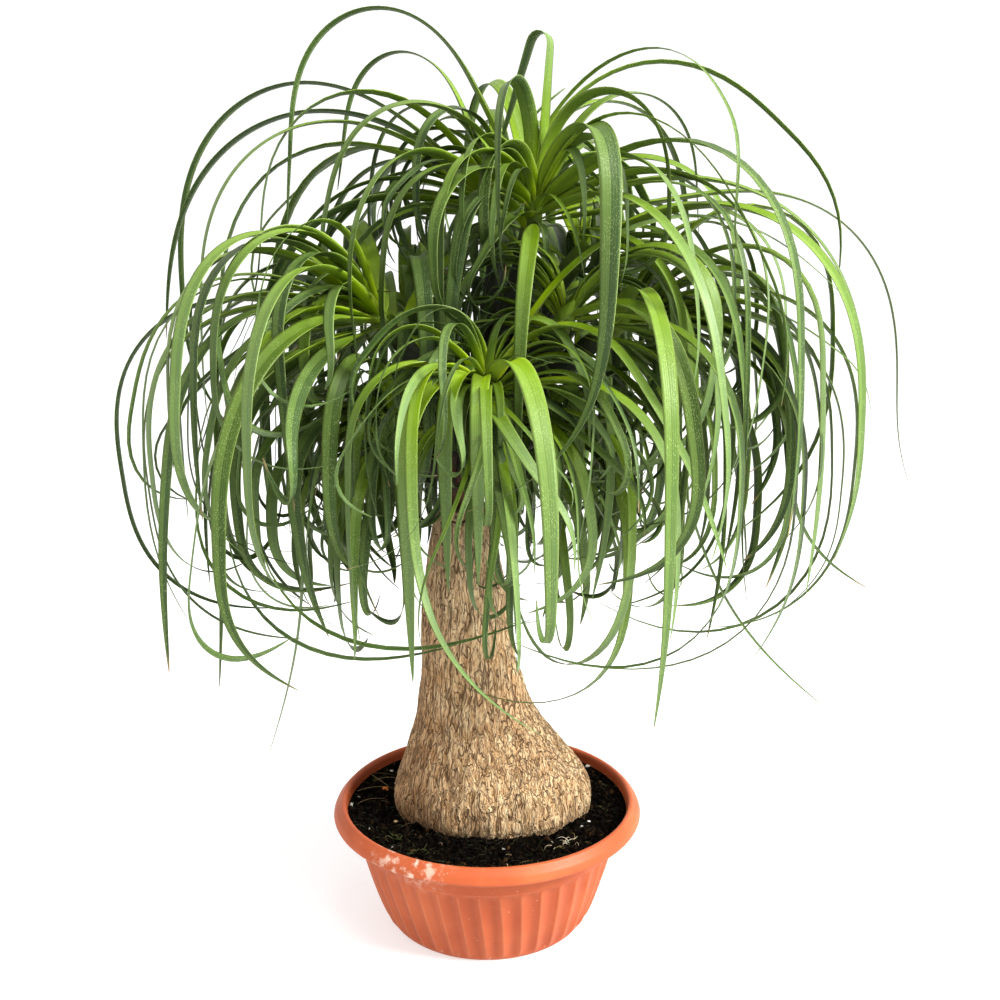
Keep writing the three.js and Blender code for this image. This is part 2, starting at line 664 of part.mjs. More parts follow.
// Grows the crown: the shown leaves first, then each head's leaves by turns, the outermost first.
function growCrown(heads) {
  const space = new Space();
  space.mark(trunkSurface(), TRUNK_OWNER);
  for (const head of heads) {
    const line = shootLine(head.middle, head.axis);
    for (let i = 0; i <= SHOOT_MARKS; i += 1) {
      const p = line.getPoint(i / SHOOT_MARKS);
      if (p.distanceTo(head.middle) > CORE_FOOT) space.mark(ball(p, SHOOT_RADIUS), TRUNK_OWNER);
    }
  }
  for (const head of heads) {
    space.mark(ball(head.middle.clone().addScaledVector(head.axis, -CORE_BALL_LOW), CORE_BALL), head.number);
  }
  SHOWN_LEAVES.forEach((row, i) => {
    const leaf = Object.fromEntries(LEAF_KEYS.map((key, k) => [key, row[k]]));
    const head = heads.find((h) => h.name === leaf.head);
    head.grown.push(settle(leaf, head, true, space, new Random(LEAF_SEED * (i + 1))));
  });
  const rounds = Math.max(...heads.map((head) => head.leaves));
  for (let i = 0; i < rounds; i += 1) {
    for (const head of heads) {
      const number = head.leaves - 1 - i;
      if (number < 0) continue;
      const random = new Random(HEAD_SEED * head.number + LEAF_SEED * number + SEED);
      head.grown.push(settle(ruledLeaf(head, number, random), head, false, space, random));
    }
  }
}

// A blade has three sides: flat above, with a keel below, and ends in a point.
function blade(sections) {
  return skin(sections.map(({ t, at, side, along, half }) => {
    if (t === 1) return [at];
    const up = along.clone().cross(side).normalize();
    const keel = KEEL_ROOT + (KEEL_TIP - KEEL_ROOT) * t;
    return [
      at.clone().addScaledVector(side, half),
      at.clone().addScaledVector(side, -half),
      at.clone().addScaledVector(up, -keel),
    ];
  }), true);
}

function rosette(head) {
  const turn = new THREE.Quaternion().setFromUnitVectors(new THREE.Vector3(0, 0, 1), head.axis);
  const core = turned(CORE_PROFILE, CORE_SIDES).applyQuaternion(turn);
  core.translate(...head.middle.toArray());
  return fused([core, ...head.grown.filter(Boolean).map(blade)]);
}

const heads = HEADS.map((head, i) => ({
  ...head,
  number: i + 1,
  middle: new THREE.Vector3(...head.at),
  axis: direction(...head.lean),
  grown: [],
}));
growCrown(heads);

const plant = new THREE.Group();
plant.name = 'potted_ponytail_palm';
function add(name, geometry, material) {
  const mesh = new THREE.Mesh(geometry, material);
  mesh.name = name;
  plant.add(mesh);
}
add('pot', pot(), TERRACOTTA);
add('soil', soil(), PEAT);
add('trunk', trunk(heads), BARK);
for (const head of heads) add(`rosette_${head.name}`, rosette(head), LEAF_GREEN);

export default plant;
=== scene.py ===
# %% [markdown]
# # A ponytail palm in its pot
#
# A ponytail palm is a swollen, corky trunk that carries tufts of long, thin, arching leaves. This lesson
# dresses a plain solid model of one: the solids give every place and size, and each one is replaced here
# by a finer piece in the same place. Sizes are written in millimetres, as one measures a plant, and are
# turned into metres where a mesh is made.

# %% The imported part
import math

import bpy
import numpy as np
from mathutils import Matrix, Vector


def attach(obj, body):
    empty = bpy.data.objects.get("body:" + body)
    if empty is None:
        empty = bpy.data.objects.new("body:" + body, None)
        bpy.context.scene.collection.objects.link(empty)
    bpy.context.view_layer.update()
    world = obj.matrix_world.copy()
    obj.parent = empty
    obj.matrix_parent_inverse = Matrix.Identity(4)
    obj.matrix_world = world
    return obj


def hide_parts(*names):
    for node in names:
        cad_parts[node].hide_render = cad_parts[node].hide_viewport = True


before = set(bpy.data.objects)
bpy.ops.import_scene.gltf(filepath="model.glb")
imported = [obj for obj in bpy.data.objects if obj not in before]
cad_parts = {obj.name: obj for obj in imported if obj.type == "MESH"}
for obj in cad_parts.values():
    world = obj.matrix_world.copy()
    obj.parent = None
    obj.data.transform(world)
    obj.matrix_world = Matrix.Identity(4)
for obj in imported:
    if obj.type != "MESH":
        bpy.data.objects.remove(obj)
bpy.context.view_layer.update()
MM = 0.001
print("Solids:", sorted(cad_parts))

# %% [markdown]
# ## Camera
#
# The camera stands 1.1 m in front of the trunk at the height of the crown and looks a little down, so
# that the pot's lip is seen as an ellipse and the hearts of the rosettes from above. A lens of 45 mm on a
# 36 mm sensor gives the square picture its view.

# %% Camera
CAMERA_PLACE, CAMERA_DOWN = (0.0125, -1.129, 0.687), 13.4
camera = bpy.data.objects.new("camera", bpy.data.cameras.new("camera"))
camera.data.lens = 45
camera.data.sensor_width = 36
camera.data.sensor_fit = "HORIZONTAL"
camera.location = CAMERA_PLACE
camera.rotation_euler = (math.radians(90 - CAMERA_DOWN), 0, 0)
bpy.context.collection.objects.link(camera)
bpy.context.scene.camera = camera
print("Camera at", [round(x, 3) for x in camera.location])

# %% [markdown]
# ## Nodes as sums
#
# Materials and Geometry Nodes are both nets of nodes. A net reads best as arithmetic, so a small class
# wraps a socket: a sum of two wires adds a Math node, and numbers alone are worked out by Python. Every
# other node comes from one method, which takes the node's type, the values or wires of its sockets and
# its settings.


# %% Wires and nets
class Wire:
    def __init__(self, net, socket):
        self.net = net
        self.socket = socket

    def math(self, operation, *terms):
        return self.net.add("ShaderNodeMath", dict(enumerate(terms or [self])), operation=operation)

    def __add__(self, other):
        return self.math("ADD", self, other)

    def __radd__(self, other):
        return self.math("ADD", other, self)

    def __sub__(self, other):
        return self.math("SUBTRACT", self, other)

    def __rsub__(self, other):
        return self.math("SUBTRACT", other, self)

    def __mul__(self, other):
        return self.math("MULTIPLY", self, other)

    def __rmul__(self, other):
        return self.math("MULTIPLY", other, self)

    def __truediv__(self, other):
        return self.math("DIVIDE", self, other)

    def __rtruediv__(self, other):
        return self.math("DIVIDE", other, self)

    def __pow__(self, other):
        return self.math("POWER", self, other)

    def __gt__(self, other):
        return self.math("GREATER_THAN", self, other)

    def __lt__(self, other):
        return self.math("LESS_THAN", self, other)

    def size(self):
        return self.math("ABSOLUTE", self)

    def wave(self):
        return self.math("SINE", self)

    def larger(self, other):
        return self.math("MAXIMUM", self, other)


class Net:
    def __init__(self, tree):
        self.tree = tree

    def add(self, kind, sockets=(), output=0, stops=(), **settings):
        node = self.tree.nodes.new(kind)
        for name, value in settings.items():
            setattr(node, name, value)
        for number, (place, colour) in enumerate(stops):
            if number < 2:
                stop = node.color_ramp.elements[number]
                stop.position = place
            else:
                stop = node.color_ramp.elements.new(place)
            stop.color = (*colour, 1)
        for key, value in dict(sockets).items():
            if isinstance(value, Wire):
                self.tree.links.new(value.socket, node.inputs[key])
            else:
                node.inputs[key].default_value = value
        return Wire(self, node.outputs[output])

    def ramp(self, value, low, high):
        sockets = {"Value": value, "From Min": low, "From Max": high}
        return self.add("ShaderNodeMapRange", sockets, interpolation_type="SMOOTHSTEP")

    def bands(self, value, *stops):
        return self.add("ShaderNodeValToRGB", {"Fac": value}, stops=stops)

    def mix(self, share, first, second):
        first, second = [c if isinstance(c, Wire) else (*c, 1) for c in (first, second)]
        sockets = {0: share, 6: first, 7: second}
        return self.add("ShaderNodeMix", sockets, 2, data_type="RGBA", clamp_factor=True)

    def vector(self, operation, *terms):
        return self.add("ShaderNodeVectorMath", dict(enumerate(terms)), operation=operation)

    def scaled(self, vector, factor):
        return self.add("ShaderNodeVectorMath", {0: vector, 3: factor}, operation="SCALE")

    def parts(self, vector):
        first = self.add("ShaderNodeSeparateXYZ", {0: vector})
        return [Wire(self, socket) for socket in first.socket.node.outputs]

    def point(self, x, y, z):
        return self.add("ShaderNodeCombineXYZ", {0: x, 1: y, 2: z})


print("Nets are ready")

# %% [markdown]
# ## Materials
#
# Every finish is a Principled shader whose colour, roughness and bump come from a net. A pattern is laid
# out either by the place on the object, in metres, or by attributes that a piece carries, such as how
# far along a leaf a point lies.


# %% A material's net
class Finish(Net):
    def __init__(self, name, colour, **values):
        self.material = bpy.data.materials.new(name)
        self.material.use_nodes = True
        self.material.diffuse_color = (*colour, 1)
        super().__init__(self.material.node_tree)
        self.shader = self.tree.nodes["Principled BSDF"]
        for key, value in values.items():
            self.shader.inputs[key.replace("_", " ")].default_value = value
        self.place = self.add("ShaderNodeTexCoord", output=3)

    def feed(self, name, wire):
        self.tree.links.new(wire.socket, self.shader.inputs[name])

    def stretched(self, factors):
        sockets = {0: self.place, 1: factors}
        return self.add("ShaderNodeVectorMath", sockets, operation="MULTIPLY")

    def noise(self, scale, detail=2, stretch=(1, 1, 1), seed=0, roughness=0.5, place=None):
        where = place or self.stretched(stretch)
        sockets = {"Vector": where, "W": seed, "Scale": scale, "Detail": detail, "Roughness": roughness}
        return self.add("ShaderNodeTexNoise", sockets, noise_dimensions="4D")

    def cells(self, scale, stretch=(1, 1, 1)):
        return self.add("ShaderNodeTexVoronoi", {"Vector": self.stretched(stretch), "Scale": scale})

    def attribute(self, name):
        return self.add("ShaderNodeAttribute", output=2, attribute_name=name)

    def relief(self, height, distance, strength=1.0):
        sockets = {"Strength": strength, "Distance": distance, "Height": height}
        self.feed("Normal", self.add("ShaderNodeBump", sockets))


print("Finishes are ready")

# %% [markdown]
# ## Pieces
#
# A piece starts as a mesh made of number arrays. A geometry net can then work on it as a modifier, with
# the sizes that this piece needs set on the net's named inputs. The result is taken as a plain mesh and
# the modifier is removed, so that each finished piece is a mesh at the origin, as the solids are.


# %% Making and finishing pieces
def mesh_piece(name, points, edges=(), faces=(), values=()):
    mesh = bpy.data.meshes.new(name)
    mesh.from_pydata((np.asarray(points) * MM).tolist(), np.asarray(edges).tolist(), list(faces))
    for key, numbers in dict(values).items():
        numbers = np.asarray(numbers, np.float32)
        if numbers.ndim == 2:
            mesh.attributes.new(key, "FLOAT_VECTOR", "POINT").data.foreach_set("vector", numbers.ravel())
        else:
            mesh.attributes.new(key, "FLOAT", "POINT").data.foreach_set("value", numbers)
    piece = bpy.data.objects.new(name, mesh)
    bpy.context.collection.objects.link(piece)
    return piece


class GeometryNet(Net):
    KINDS = {int: "NodeSocketInt", float: "NodeSocketFloat"}

    def __init__(self, name, sizes):
        super().__init__(bpy.data.node_groups.new(name, "GeometryNodeTree"))
        face = self.tree.interface
        face.new_socket("Geometry", in_out="INPUT", socket_type="NodeSocketGeometry")
        face.new_socket("Geometry", in_out="OUTPUT", socket_type="NodeSocketGeometry")
        for label, value in sizes.items():
            face.new_socket(label, in_out="INPUT", socket_type=self.KINDS[type(value)]).default_value = value
        source = self.tree.nodes.new("NodeGroupInput")
        self.given = {socket.name: Wire(self, socket) for socket in source.outputs if socket.name}

    def attribute(self, name, kind="FLOAT"):
        return self.add("GeometryNodeInputNamedAttribute", {"Name": name}, data_type=kind)

    def keep(self, geometry, name, value):
        sockets = {"Geometry": geometry, "Name": name, "Value": value}
        return self.add("GeometryNodeStoreNamedAttribute", sockets, data_type="FLOAT", domain="POINT")

    def done(self, geometry, material):
        realized = self.add("GeometryNodeRealizeInstances", {"Geometry": geometry})
        smooth = self.add("GeometryNodeSetShadeSmooth", {"Geometry": realized})
        dressed = self.add("GeometryNodeSetMaterial", {"Geometry": smooth, "Material": material})
        output = self.tree.nodes.new("NodeGroupOutput")
        self.tree.links.new(dressed.socket, output.inputs[0])


def work(piece, net, **sizes):
    modifier = piece.modifiers.new(net.tree.name, "NODES")
    modifier.node_group = net.tree
    for item in net.tree.interface.items_tree:
        if item.name in sizes:
            modifier[item.identifier] = sizes[item.name]
    graph = bpy.context.evaluated_depsgraph_get()
    mesh = bpy.data.meshes.new_from_object(piece.evaluated_get(graph), depsgraph=graph)
    piece.modifiers.clear()
    piece.data = mesh


def finished(piece, slot, *nodes):
    piece.data.polygons.foreach_set("use_smooth", np.ones(len(piece.data.polygons), bool))
    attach(piece, "root")
    if nodes:
        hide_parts(*nodes)
    print(piece.name, len(piece.data.polygons), "faces")


print("Pieces are ready")

# %% [markdown]
# ## How a leaf runs
#
# A leaf sets out at its compass angle and its rise, keeps to it for the straight part of its length, has
# bent over to its fall at the part named bent, and turns by its curl from there to the tip. Sweep turns
# it sideways on the way and twist rolls it. It could be drawn as a curve by hand, but hundreds of them
# are needed, so a rule steps along each one.

# %% The line of a leaf
FINE_STEPS = 64
T = np.linspace(0, 1, FINE_STEPS + 1)


def ease(x):
    x = np.clip(x, 0, 1)
    return x * x * (3 - 2 * x)


def way(compass, rise):
    a, e = np.radians(compass), np.radians(rise)
    return np.stack([np.cos(e) * np.cos(a), np.cos(e) * np.sin(a), np.sin(e)], -1)


def half_width(width):
    drawn_out = np.maximum(0, 1 - T ** 2.1) ** 0.8
    return width / 2 * (0.45 + 0.55 * ease(T / 0.24)) * drawn_out + 0.35


def leaf_line(leaf):
    over = ease((T - leaf["straight"]) / (leaf["bent"] - leaf["straight"]))
    hooked = ease((T - leaf["bent"]) / (1.0001 - leaf["bent"]))
    rise = leaf["rise"] + (leaf["fall"] - leaf["rise"]) * over + leaf["curl"] * hooked
    compass = leaf["compass"] + leaf["sweep"] * T ** 1.5
    along = way(compass, rise)
    flat = way(compass + 90, 0 * compass)
    roll = np.radians(leaf["twist"] * T)[:, None]
    side = flat * np.cos(roll) + np.cross(along, flat) * np.sin(roll)
    steps = np.cumsum(along[:-1] * leaf["length"] / FINE_STEPS, 0)
    at = leaf["root"] + np.concatenate([np.zeros((1, 3)), steps])
    return {"at": at, "along": along, "side": side, "rise": np.radians(rise), "roll": roll[:, 0],
            "half": half_width(leaf["width"])}


print("A leaf has", FINE_STEPS, "steps")

# %% [markdown]
# ## The rosettes
#
# Twelve rosettes stand on short shoots at the trunk's top. Each has a place, a way that it leans, a
# number of leaves and their length. The leaves that show one by one in the photograph are listed with
# their own curves.

# %% Rosettes and the leaves that show
HEADS = [  # name, middle, lean as compass and rise, leaves by rule, length, phase
    ("front", (2, -95, 533), (272, 48), 5, 330, 20),
    ("top", (43, 0, 685), (290, 80), 18, 500, 50),
    ("left", (-94, -30, 589), (190, 40), 22, 540, 10),
    ("right", (122, 0, 582), (0, 38), 22, 540, 200),
    ("middle", (70, -56, 592), (300, 55), 18, 480, 80),
    ("upper", (90, 32, 646), (20, 50), 18, 540, 300),
    ("crown", (12, 55, 690), (110, 78), 18, 520, 130),
    ("low_right", (52, 10, 480), (325, 15), 15, 420, 250),
    ("low_left", (-92, -14, 478), (200, 8), 15, 420, 170),
    ("back_left", (-80, 95, 590), (135, 42), 20, 540, 40),
    ("back_right", (80, 105, 600), (45, 42), 20, 540, 70),
    ("back_low", (-10, 110, 500), (92, 20), 16, 450, 0),
]
LEAF_KEYS = (
    "head", "compass", "rise", "length", "straight", "bent", "fall", "curl", "sweep", "twist", "width",
)
SHOWN_LEAVES = [
    ("top", 170, 62, 460, 0.2, 0.8, -85, 0, 0, 15, 15),
    ("crown", 158, 65, 320, 0.22, 0.83, -80, 0, 0, 15, 12),
    ("top", 150, 96, 250, 0.46, 0.6, -70, 0, 0, 10, 18),
    ("top", 20, 60, 300, 0.12, 0.84, -85, 0, 0, 20, 16),
    ("top", 300, 50, 500, 0, 0.5, -85, 65, -120, 20, 19),
    ("top", 228, 50, 350, 0, 0.5, -90, -10, 0, 30, 13),
    ("top", 206, 40, 400, 0, 0.5, -85, -130, 0, 0, 15),
    ("top", 352, 21, 450, 0, 0.95, -88, 0, 0, 20, 18),
    ("upper", 335, 32, 500, 0, 0.75, -88, -20, 0, 25, 20),
    ("top", 8, 9, 590, 0.2, 0.77, -86, 25, 0, 20, 14),
    ("crown", 176, 40, 470, 0, 0.98, -85, 0, 0, 20, 17),
    ("crown", 195, 36, 490, 0.05, 0.8, -88, -5, 0, -20, 14),
    ("crown", 166, 40, 640, 0.08, 0.75, -90, -40, 0, 30, 11),
    ("left", 186, 10, 540, 0.1, 0.6, -95, -85, 0, 10, 16),
    ("left", 200, 10, 520, 0.05, 0.58, -95, -75, 0, 10, 15),
    ("left", 172, 20, 480, 0, 0.45, -90, 5, 0, 40, 11),
    ("low_left", 215, 0, 330, 0, 0.35, -88, 20, 0, 20, 11),
    ("front", 236, 24, 320, 0, 0.5, -92, 0, 0, -10, 18),
    ("front", 247, 34, 235, 0, 0.5, -92, 0, 0, 10, 17),
    ("front", 266, 30, 225, 0, 0.55, -88, 0, 0, 10, 15),
    ("front", 282, 28, 400, 0, 0.8, -90, -170, 0, 10, 17),
    ("front", 330, 20, 330, 0, 0.75, -88, -10, 0, 10, 17),
    ("front", 212, 35, 330, 0, 0.55, -88, -10, 0, 10, 18),
    ("front", 233, 35, 410, 0, 0.4, -80, 45, 150, 10, 10),
    ("front", 15, 64, 430, 0, 0.95, -40, -10, 0, 25, 14),
    ("front", 340, 60, 330, 0, 0.5, -55, -15, -10, 20, 18),
    ("middle", 196, 48, 330, 0, 0.62, -85, -60, 25, 30, 17),
    ("middle", 238, 42, 270, 0, 0.7, -70, -90, -40, 30, 16),
    ("middle", 170, 62, 420, 0, 0.8, -88, -30, 10, 20, 14),
    ("top", 262, 5, 330, 0, 0.6, -85, -40, -45, 30, 15),
    ("upper", 215, 20, 360, 0, 0.7, -85, -50, 30, 30, 15),
    ("right", 355, 12, 450, 0, 0.68, -92, -50, 0, 15, 19),
    ("right", 335, 5, 430, 0, 0.6, -90, -30, 0, 15, 17),
    ("right", 5, 22, 600, 0, 0.55, -92, -95, 0, 10, 13),
    ("low_right", 345, 20, 400, 0, 0.4, -72, 35, 0, 10, 10),
]
heads = [
    {"name": name, "number": i + 1, "middle": np.array(middle, float), "axis": way(*lean),
     "leaves": leaves, "length": length, "phase": phase, "grown": [], "extra": []}
    for i, (name, middle, lean, leaves, length, phase) in enumerate(HEADS)
]
by_name = {head["name"]: head for head in heads}
print(len(heads), "rosettes,", len(SHOWN_LEAVES), "leaves placed one by one")

# %% [markdown]
# ## The trunk's line and its shoots
#
# The trunk is given by rings up its height: where each one's middle lies and how wide it is across and
# from front to back. A shoot leaves the trunk's top and bends softly to its rosette.

# %% Trunk rings and shoot lines
TRUNK = np.array([
    [68, 6, 16, 62, 50],
    [82, 6, 16, 84, 67],
    [100, 5, 16, 94, 75],
    [113, 5, 16, 98, 79],
    [128, 4, 16, 96, 78],
    [150, 2, 16, 86.5, 73],
    [174, -4, 15, 73.5, 64],
    [192, -8, 15, 63, 57],
    [213, -12, 14, 54.5, 50],
    [234, -14, 13, 50, 47],
    [280, -20, 12, 43, 42],
    [329, -21.5, 12, 39, 38],
    [366, -22, 12, 33, 33],
    [394, -22, 12, 29, 29],
    [412, -22, 12, 25, 25],
])
SHOOT_START = np.array([-22.0, 12.0, 395.0])
SHOOT_RADIUS = 11
SHOOT_RISE = 0.4
SHOOT_BEND = 0.35
CORE_FOOT = 34
GAP = 0.4


def trunk_at(z):
    return [np.interp(z, TRUNK[:, 0], TRUNK[:, k]) for k in range(1, 5)]


def shoot_line(end, axis, t):
    span = np.linalg.norm(end - SHOOT_START)
    t = np.asarray(t)[:, None]
    rise = SHOOT_START + np.array([0, 0, span * SHOOT_RISE])
    bend = end - axis * span * SHOOT_BEND
    s = 1 - t
    return s ** 3 * SHOOT_START + 3 * s * s * t * rise + 3 * s * t * t * bend + t ** 3 * end


print("Trunk from", TRUNK[0, 0], "to", TRUNK[-1, 0], "mm high")

# %% [markdown]
# ## Room to grow
#
# Real leaves push each other aside. Here the space round the crown is divided into small cells, and each
# cell that a leaf passes is marked with its rosette. A new leaf is tried, and strays a little more each
# time, until it runs clear of what stands already.

# %% Cells of the crown's space
CELL = 3.2
CELLS = (325, 325, 300)
CORNER = np.array([-520.3, -520.3, -20.3])
LANES = np.array([-1, -0.67, -0.33, 0, 0.33, 0.67, 1])
SAMPLE_STEP = 2.4
SHARED = 120
NEIGHBOURS = np.array([(i, j, k) for i in (-1, 0, 1) for j in (-1, 0, 1) for k in (-1, 0, 1)])
owners = np.zeros(CELLS, np.uint8)


def cell_of(points):
    return np.floor((points - CORNER) / CELL).astype(int)


def owner_at(points):
    return owners[tuple(cell_of(points).T)]


def mark(points, owner):
    flat = np.unique(np.ravel_multi_index(tuple(cell_of(points).T), CELLS))
    cells = np.stack(np.unravel_index(flat, CELLS), -1)
    near = tuple((cells[:, None] + NEIGHBOURS).reshape(-1, 3).T)
    now = owners[near]
    owners[near] = np.where((now == 0) | (now == owner), owner, SHARED)


def surface(at, edge):
    spans = np.linalg.norm(at[1:] - at[:-1], axis=1)
    counts = np.maximum(1, np.ceil(spans / SAMPLE_STEP)).astype(int)
    part = np.repeat(np.arange(len(counts)), counts)
    share = (np.arange(counts.sum()) - np.repeat(np.cumsum(counts) - counts, counts)) / counts[part]
    share = share[:, None]
    middle = at[part] * (1 - share) + at[part + 1] * share
    wide = edge[part] * (1 - share) + edge[part + 1] * share
    return np.concatenate([(middle[:, None] + LANES[:, None] * wide[:, None]).reshape(-1, 3), at[-1:]])


print("Cells:", CELLS)

# %% [markdown]
# ## The rule of growth
#
# Leaf after leaf of a rosette is turned by the golden angle, and older leaves open wider and grow longer.
# The draws come from a small seeded generator, so the plant is the same each time.

# %% Seeded draws and a leaf by rule
GOLDEN_ANGLE = 137.50776
OPEN_YOUNG, OPEN_OLD, OPEN_BEND = 14, 86, 0.75
LOWEST_RISE = -35
YOUNG_LENGTH, YOUNG_WIDTH, LEAF_WIDTH = 0.7, 0.8, 17
RULE = {
    "length": (0.88, 1.1),
    "fall": (-98, -76),
    "straight": (0, 0.1),
    "bent": (0.5, 0.72),
    "curl": (-120, 0),
    "sweep": (-45, 45),
    "twist": (-75, 75),
    "width": (0.7, 1.05),
}
OPEN_SPREAD = (-6, 6)
ROOT_LOW, ROOT_HIGH, ROOT_DROOP, ROOT_RING = -20, 12, -0.2, 9


class Draws:
    def __init__(self, seed):
        self.state = seed % 2 ** 32
        for _ in range(3):
            self.next()

    def next(self):
        self.state = (self.state * 1664525 + 1013904223) % 2 ** 32
        return self.state / 2 ** 32

    def between(self, low, high):
        return low + (high - low) * self.next()


def ruled_leaf(head, number, age, draws):
    grown = math.sqrt(age)
    spin = math.radians(head["phase"] + number * GOLDEN_ANGLE)
    wide = OPEN_YOUNG + (OPEN_OLD - OPEN_YOUNG) * age ** OPEN_BEND
    wide = math.radians(wide + draws.between(*OPEN_SPREAD))
    axis = head["axis"]
    flat = np.cross(axis, (0, 0, 1))
    flat = flat / np.linalg.norm(flat)
    outward = flat * math.cos(spin) + np.cross(flat, axis) * math.sin(spin)
    x, y, z = axis * math.cos(wide) + outward * math.sin(wide)
    leaf = {key: draws.between(*limits) for key, limits in RULE.items()}
    leaf["compass"] = math.degrees(math.atan2(y, x))
    leaf["rise"] = max(LOWEST_RISE, math.degrees(math.asin(min(1, max(-1, z)))))
    leaf["length"] *= head["length"] * (YOUNG_LENGTH + (1 - YOUNG_LENGTH) * grown)
    leaf["width"] *= LEAF_WIDTH * (YOUNG_WIDTH + (1 - YOUNG_WIDTH) * grown)
    return leaf


def root_of(head, leaf):
    out = way(leaf["compass"], leaf["rise"])
    steep = head["axis"] @ out
    height = ROOT_LOW + (ROOT_HIGH - ROOT_LOW) * max(ROOT_DROOP, steep)
    return head["middle"] + head["axis"] * height + (out - head["axis"] * steep) * ROOT_RING


print("A ruled leaf has", 2 + len(RULE), "draws")

# %% [markdown]
# ## Sections
#
# The solids have only a few straight sections a leaf, closer where it turns more. The trials below run
# along the same sections, so that the fine leaves stand where the solid ones do.

# %% Settling a leaf
SECTIONS = 7
TURN_FOR_LENGTH, TURN_FOR_ROLL = 1, 0.3
TRIES, STRICT_TRIES = 200, 160
CORE_FREE, ROSETTE_FREE = 26, 38
CROWN_REACH, CROWN_LOW, CROWN_LOW_SPREAD = 358, 275, 75
CLEAR_SIDES, CLEAR_FRONT, CLEAR_LOW = (-70, 90), -105, 440
NUDGE_SHOWN = {"compass": 8, "rise": 8, "sweep": 8, "curl": (0, 0), "shorter": 0}
NUDGE_RULED = {"compass": 90, "rise": 27, "sweep": 27, "curl": (-45, 18), "shorter": 0.6}


def sections(line):
    turn = np.abs(np.diff(line["rise"])) + TURN_FOR_ROLL * np.abs(np.diff(line["roll"]))
    turned = np.concatenate([[0], np.cumsum(turn + TURN_FOR_LENGTH / FINE_STEPS)])
    return np.searchsorted(turned, turned[-1] * np.arange(SECTIONS) / (SECTIONS - 1) - 1e-9)


def nudged(first, nudge, part, draws):
    leaf = dict(first)
    for key in ("compass", "rise", "sweep"):
        leaf[key] += draws.between(-nudge[key], nudge[key]) * part
    leaf["curl"] += draws.between(*nudge["curl"]) * part
    leaf["length"] *= 1 - nudge["shorter"] * part * draws.next()
    return leaf


def before_front(points):
    x, y, z = points.T
    return (y < CLEAR_FRONT) & (z > CLEAR_LOW) & (x > CLEAR_SIDES[0]) & (x < CLEAR_SIDES[1])


def settle(first, head, draws, nudge, coarse=True, tries=TRIES, foot=None, free=ROSETTE_FREE):
    shown = nudge is NUDGE_SHOWN
    aside = not shown and head["name"] != "front"
    centre = head["middle"] if foot is None else foot
    lowest = 0 if shown else CROWN_LOW + CROWN_LOW_SPREAD * draws.next()
    for k in range(tries):
        leaf = nudged(first, nudge, k / tries, draws)
        leaf["root"] = root_of(head, leaf) if foot is None else foot
        line = leaf_line(leaf)
        rows = sections(line) if coarse else slice(None)
        points = surface(line["at"][rows], (line["side"] * line["half"][:, None])[rows])
        if not shown and (points[:, 2].min() < lowest or np.hypot(*points.T[:2]).max() > CROWN_REACH):
            continue
        if aside and before_front(points).any():
            continue
        far = np.linalg.norm(points - centre, axis=1)
        owner = owner_at(points)
        near = free if k < STRICT_TRIES and not shown else math.inf
        own = (owner == head["number"]) & (far < near)
        if np.all((owner == 0) | (far <= CORE_FREE) | own):
            mark(points, head["number"])
            line["width"] = leaf["width"]
            return line
    return None


print("Up to", TRIES, "tries a leaf")

# %% [markdown]
# ## Growing the crown
#
# The trunk, the shoots and the rosettes' cores are marked first. The listed leaves follow, and then the
# rosettes take turns, oldest leaves first.

# %% Grow the crown
TRUNK_OWNER = 99
TRUNK_LANES = 200
BALL_RINGS, BALL_SIDES = 8, 48
SHOOT_MARKS = 24
CORE_BALL, CORE_BALL_LOW = 24, 10
TRUNK_SEEN = 97
LEAF_SEED, HEAD_SEED, SEED = 7919, 104729, 17


def draws_for(head, number):
    return Draws(HEAD_SEED * head["number"] + LEAF_SEED * number + SEED)


ball = way(*np.meshgrid(360 * np.arange(BALL_SIDES) / BALL_SIDES,
                        90 * np.arange(-BALL_RINGS, BALL_RINGS + 1) / BALL_RINGS)).reshape(-1, 3)
turns = 2 * math.pi * np.arange(TRUNK_LANES) / TRUNK_LANES
for z in np.arange(TRUNK_SEEN, TRUNK[-1, 0], SAMPLE_STEP):
    x, y, across, deep = trunk_at(z)
    ring = np.stack([x + across * np.cos(turns), y + deep * np.sin(turns), z + 0 * turns], -1)
    mark(ring, TRUNK_OWNER)
for head in heads:
    for p in shoot_line(head["middle"], head["axis"], np.arange(SHOOT_MARKS + 1) / SHOOT_MARKS):
        if np.linalg.norm(p - head["middle"]) > CORE_FOOT:
            mark(p + ball * SHOOT_RADIUS, TRUNK_OWNER)
for head in heads:
    mark(head["middle"] - head["axis"] * CORE_BALL_LOW + ball * CORE_BALL, head["number"])
for i, row in enumerate(SHOWN_LEAVES):
    leaf = dict(zip(LEAF_KEYS, row))
    head = by_name[leaf["head"]]
    head["grown"].append(settle(leaf, head, Draws(LEAF_SEED * (i + 1)), NUDGE_SHOWN))
for i in range(max(head["leaves"] for head in heads)):
    for head in heads:
        number = head["leaves"] - 1 - i
        if number >= 0:
            draws = draws_for(head, number)
            leaf = ruled_leaf(head, number, (number + 0.5) / head["leaves"], draws)
            head["grown"].append(settle(leaf, head, draws, NUDGE_RULED))
for head in heads:
    head["grown"] = [line for line in head["grown"] if line]
print("Leaves:", sum(len(head["grown"]) for head in heads))

# %% [markdown]
# ## Slim leaves and wisps
#
# Between the broad leaves of the solids the real plant has slimmer ones, and thin wisps that stray far.
# They come from the same rule of growth. Each kind has its own draws: a share of the ruled width and
# length, and new bends. They are grown into the room that is left.

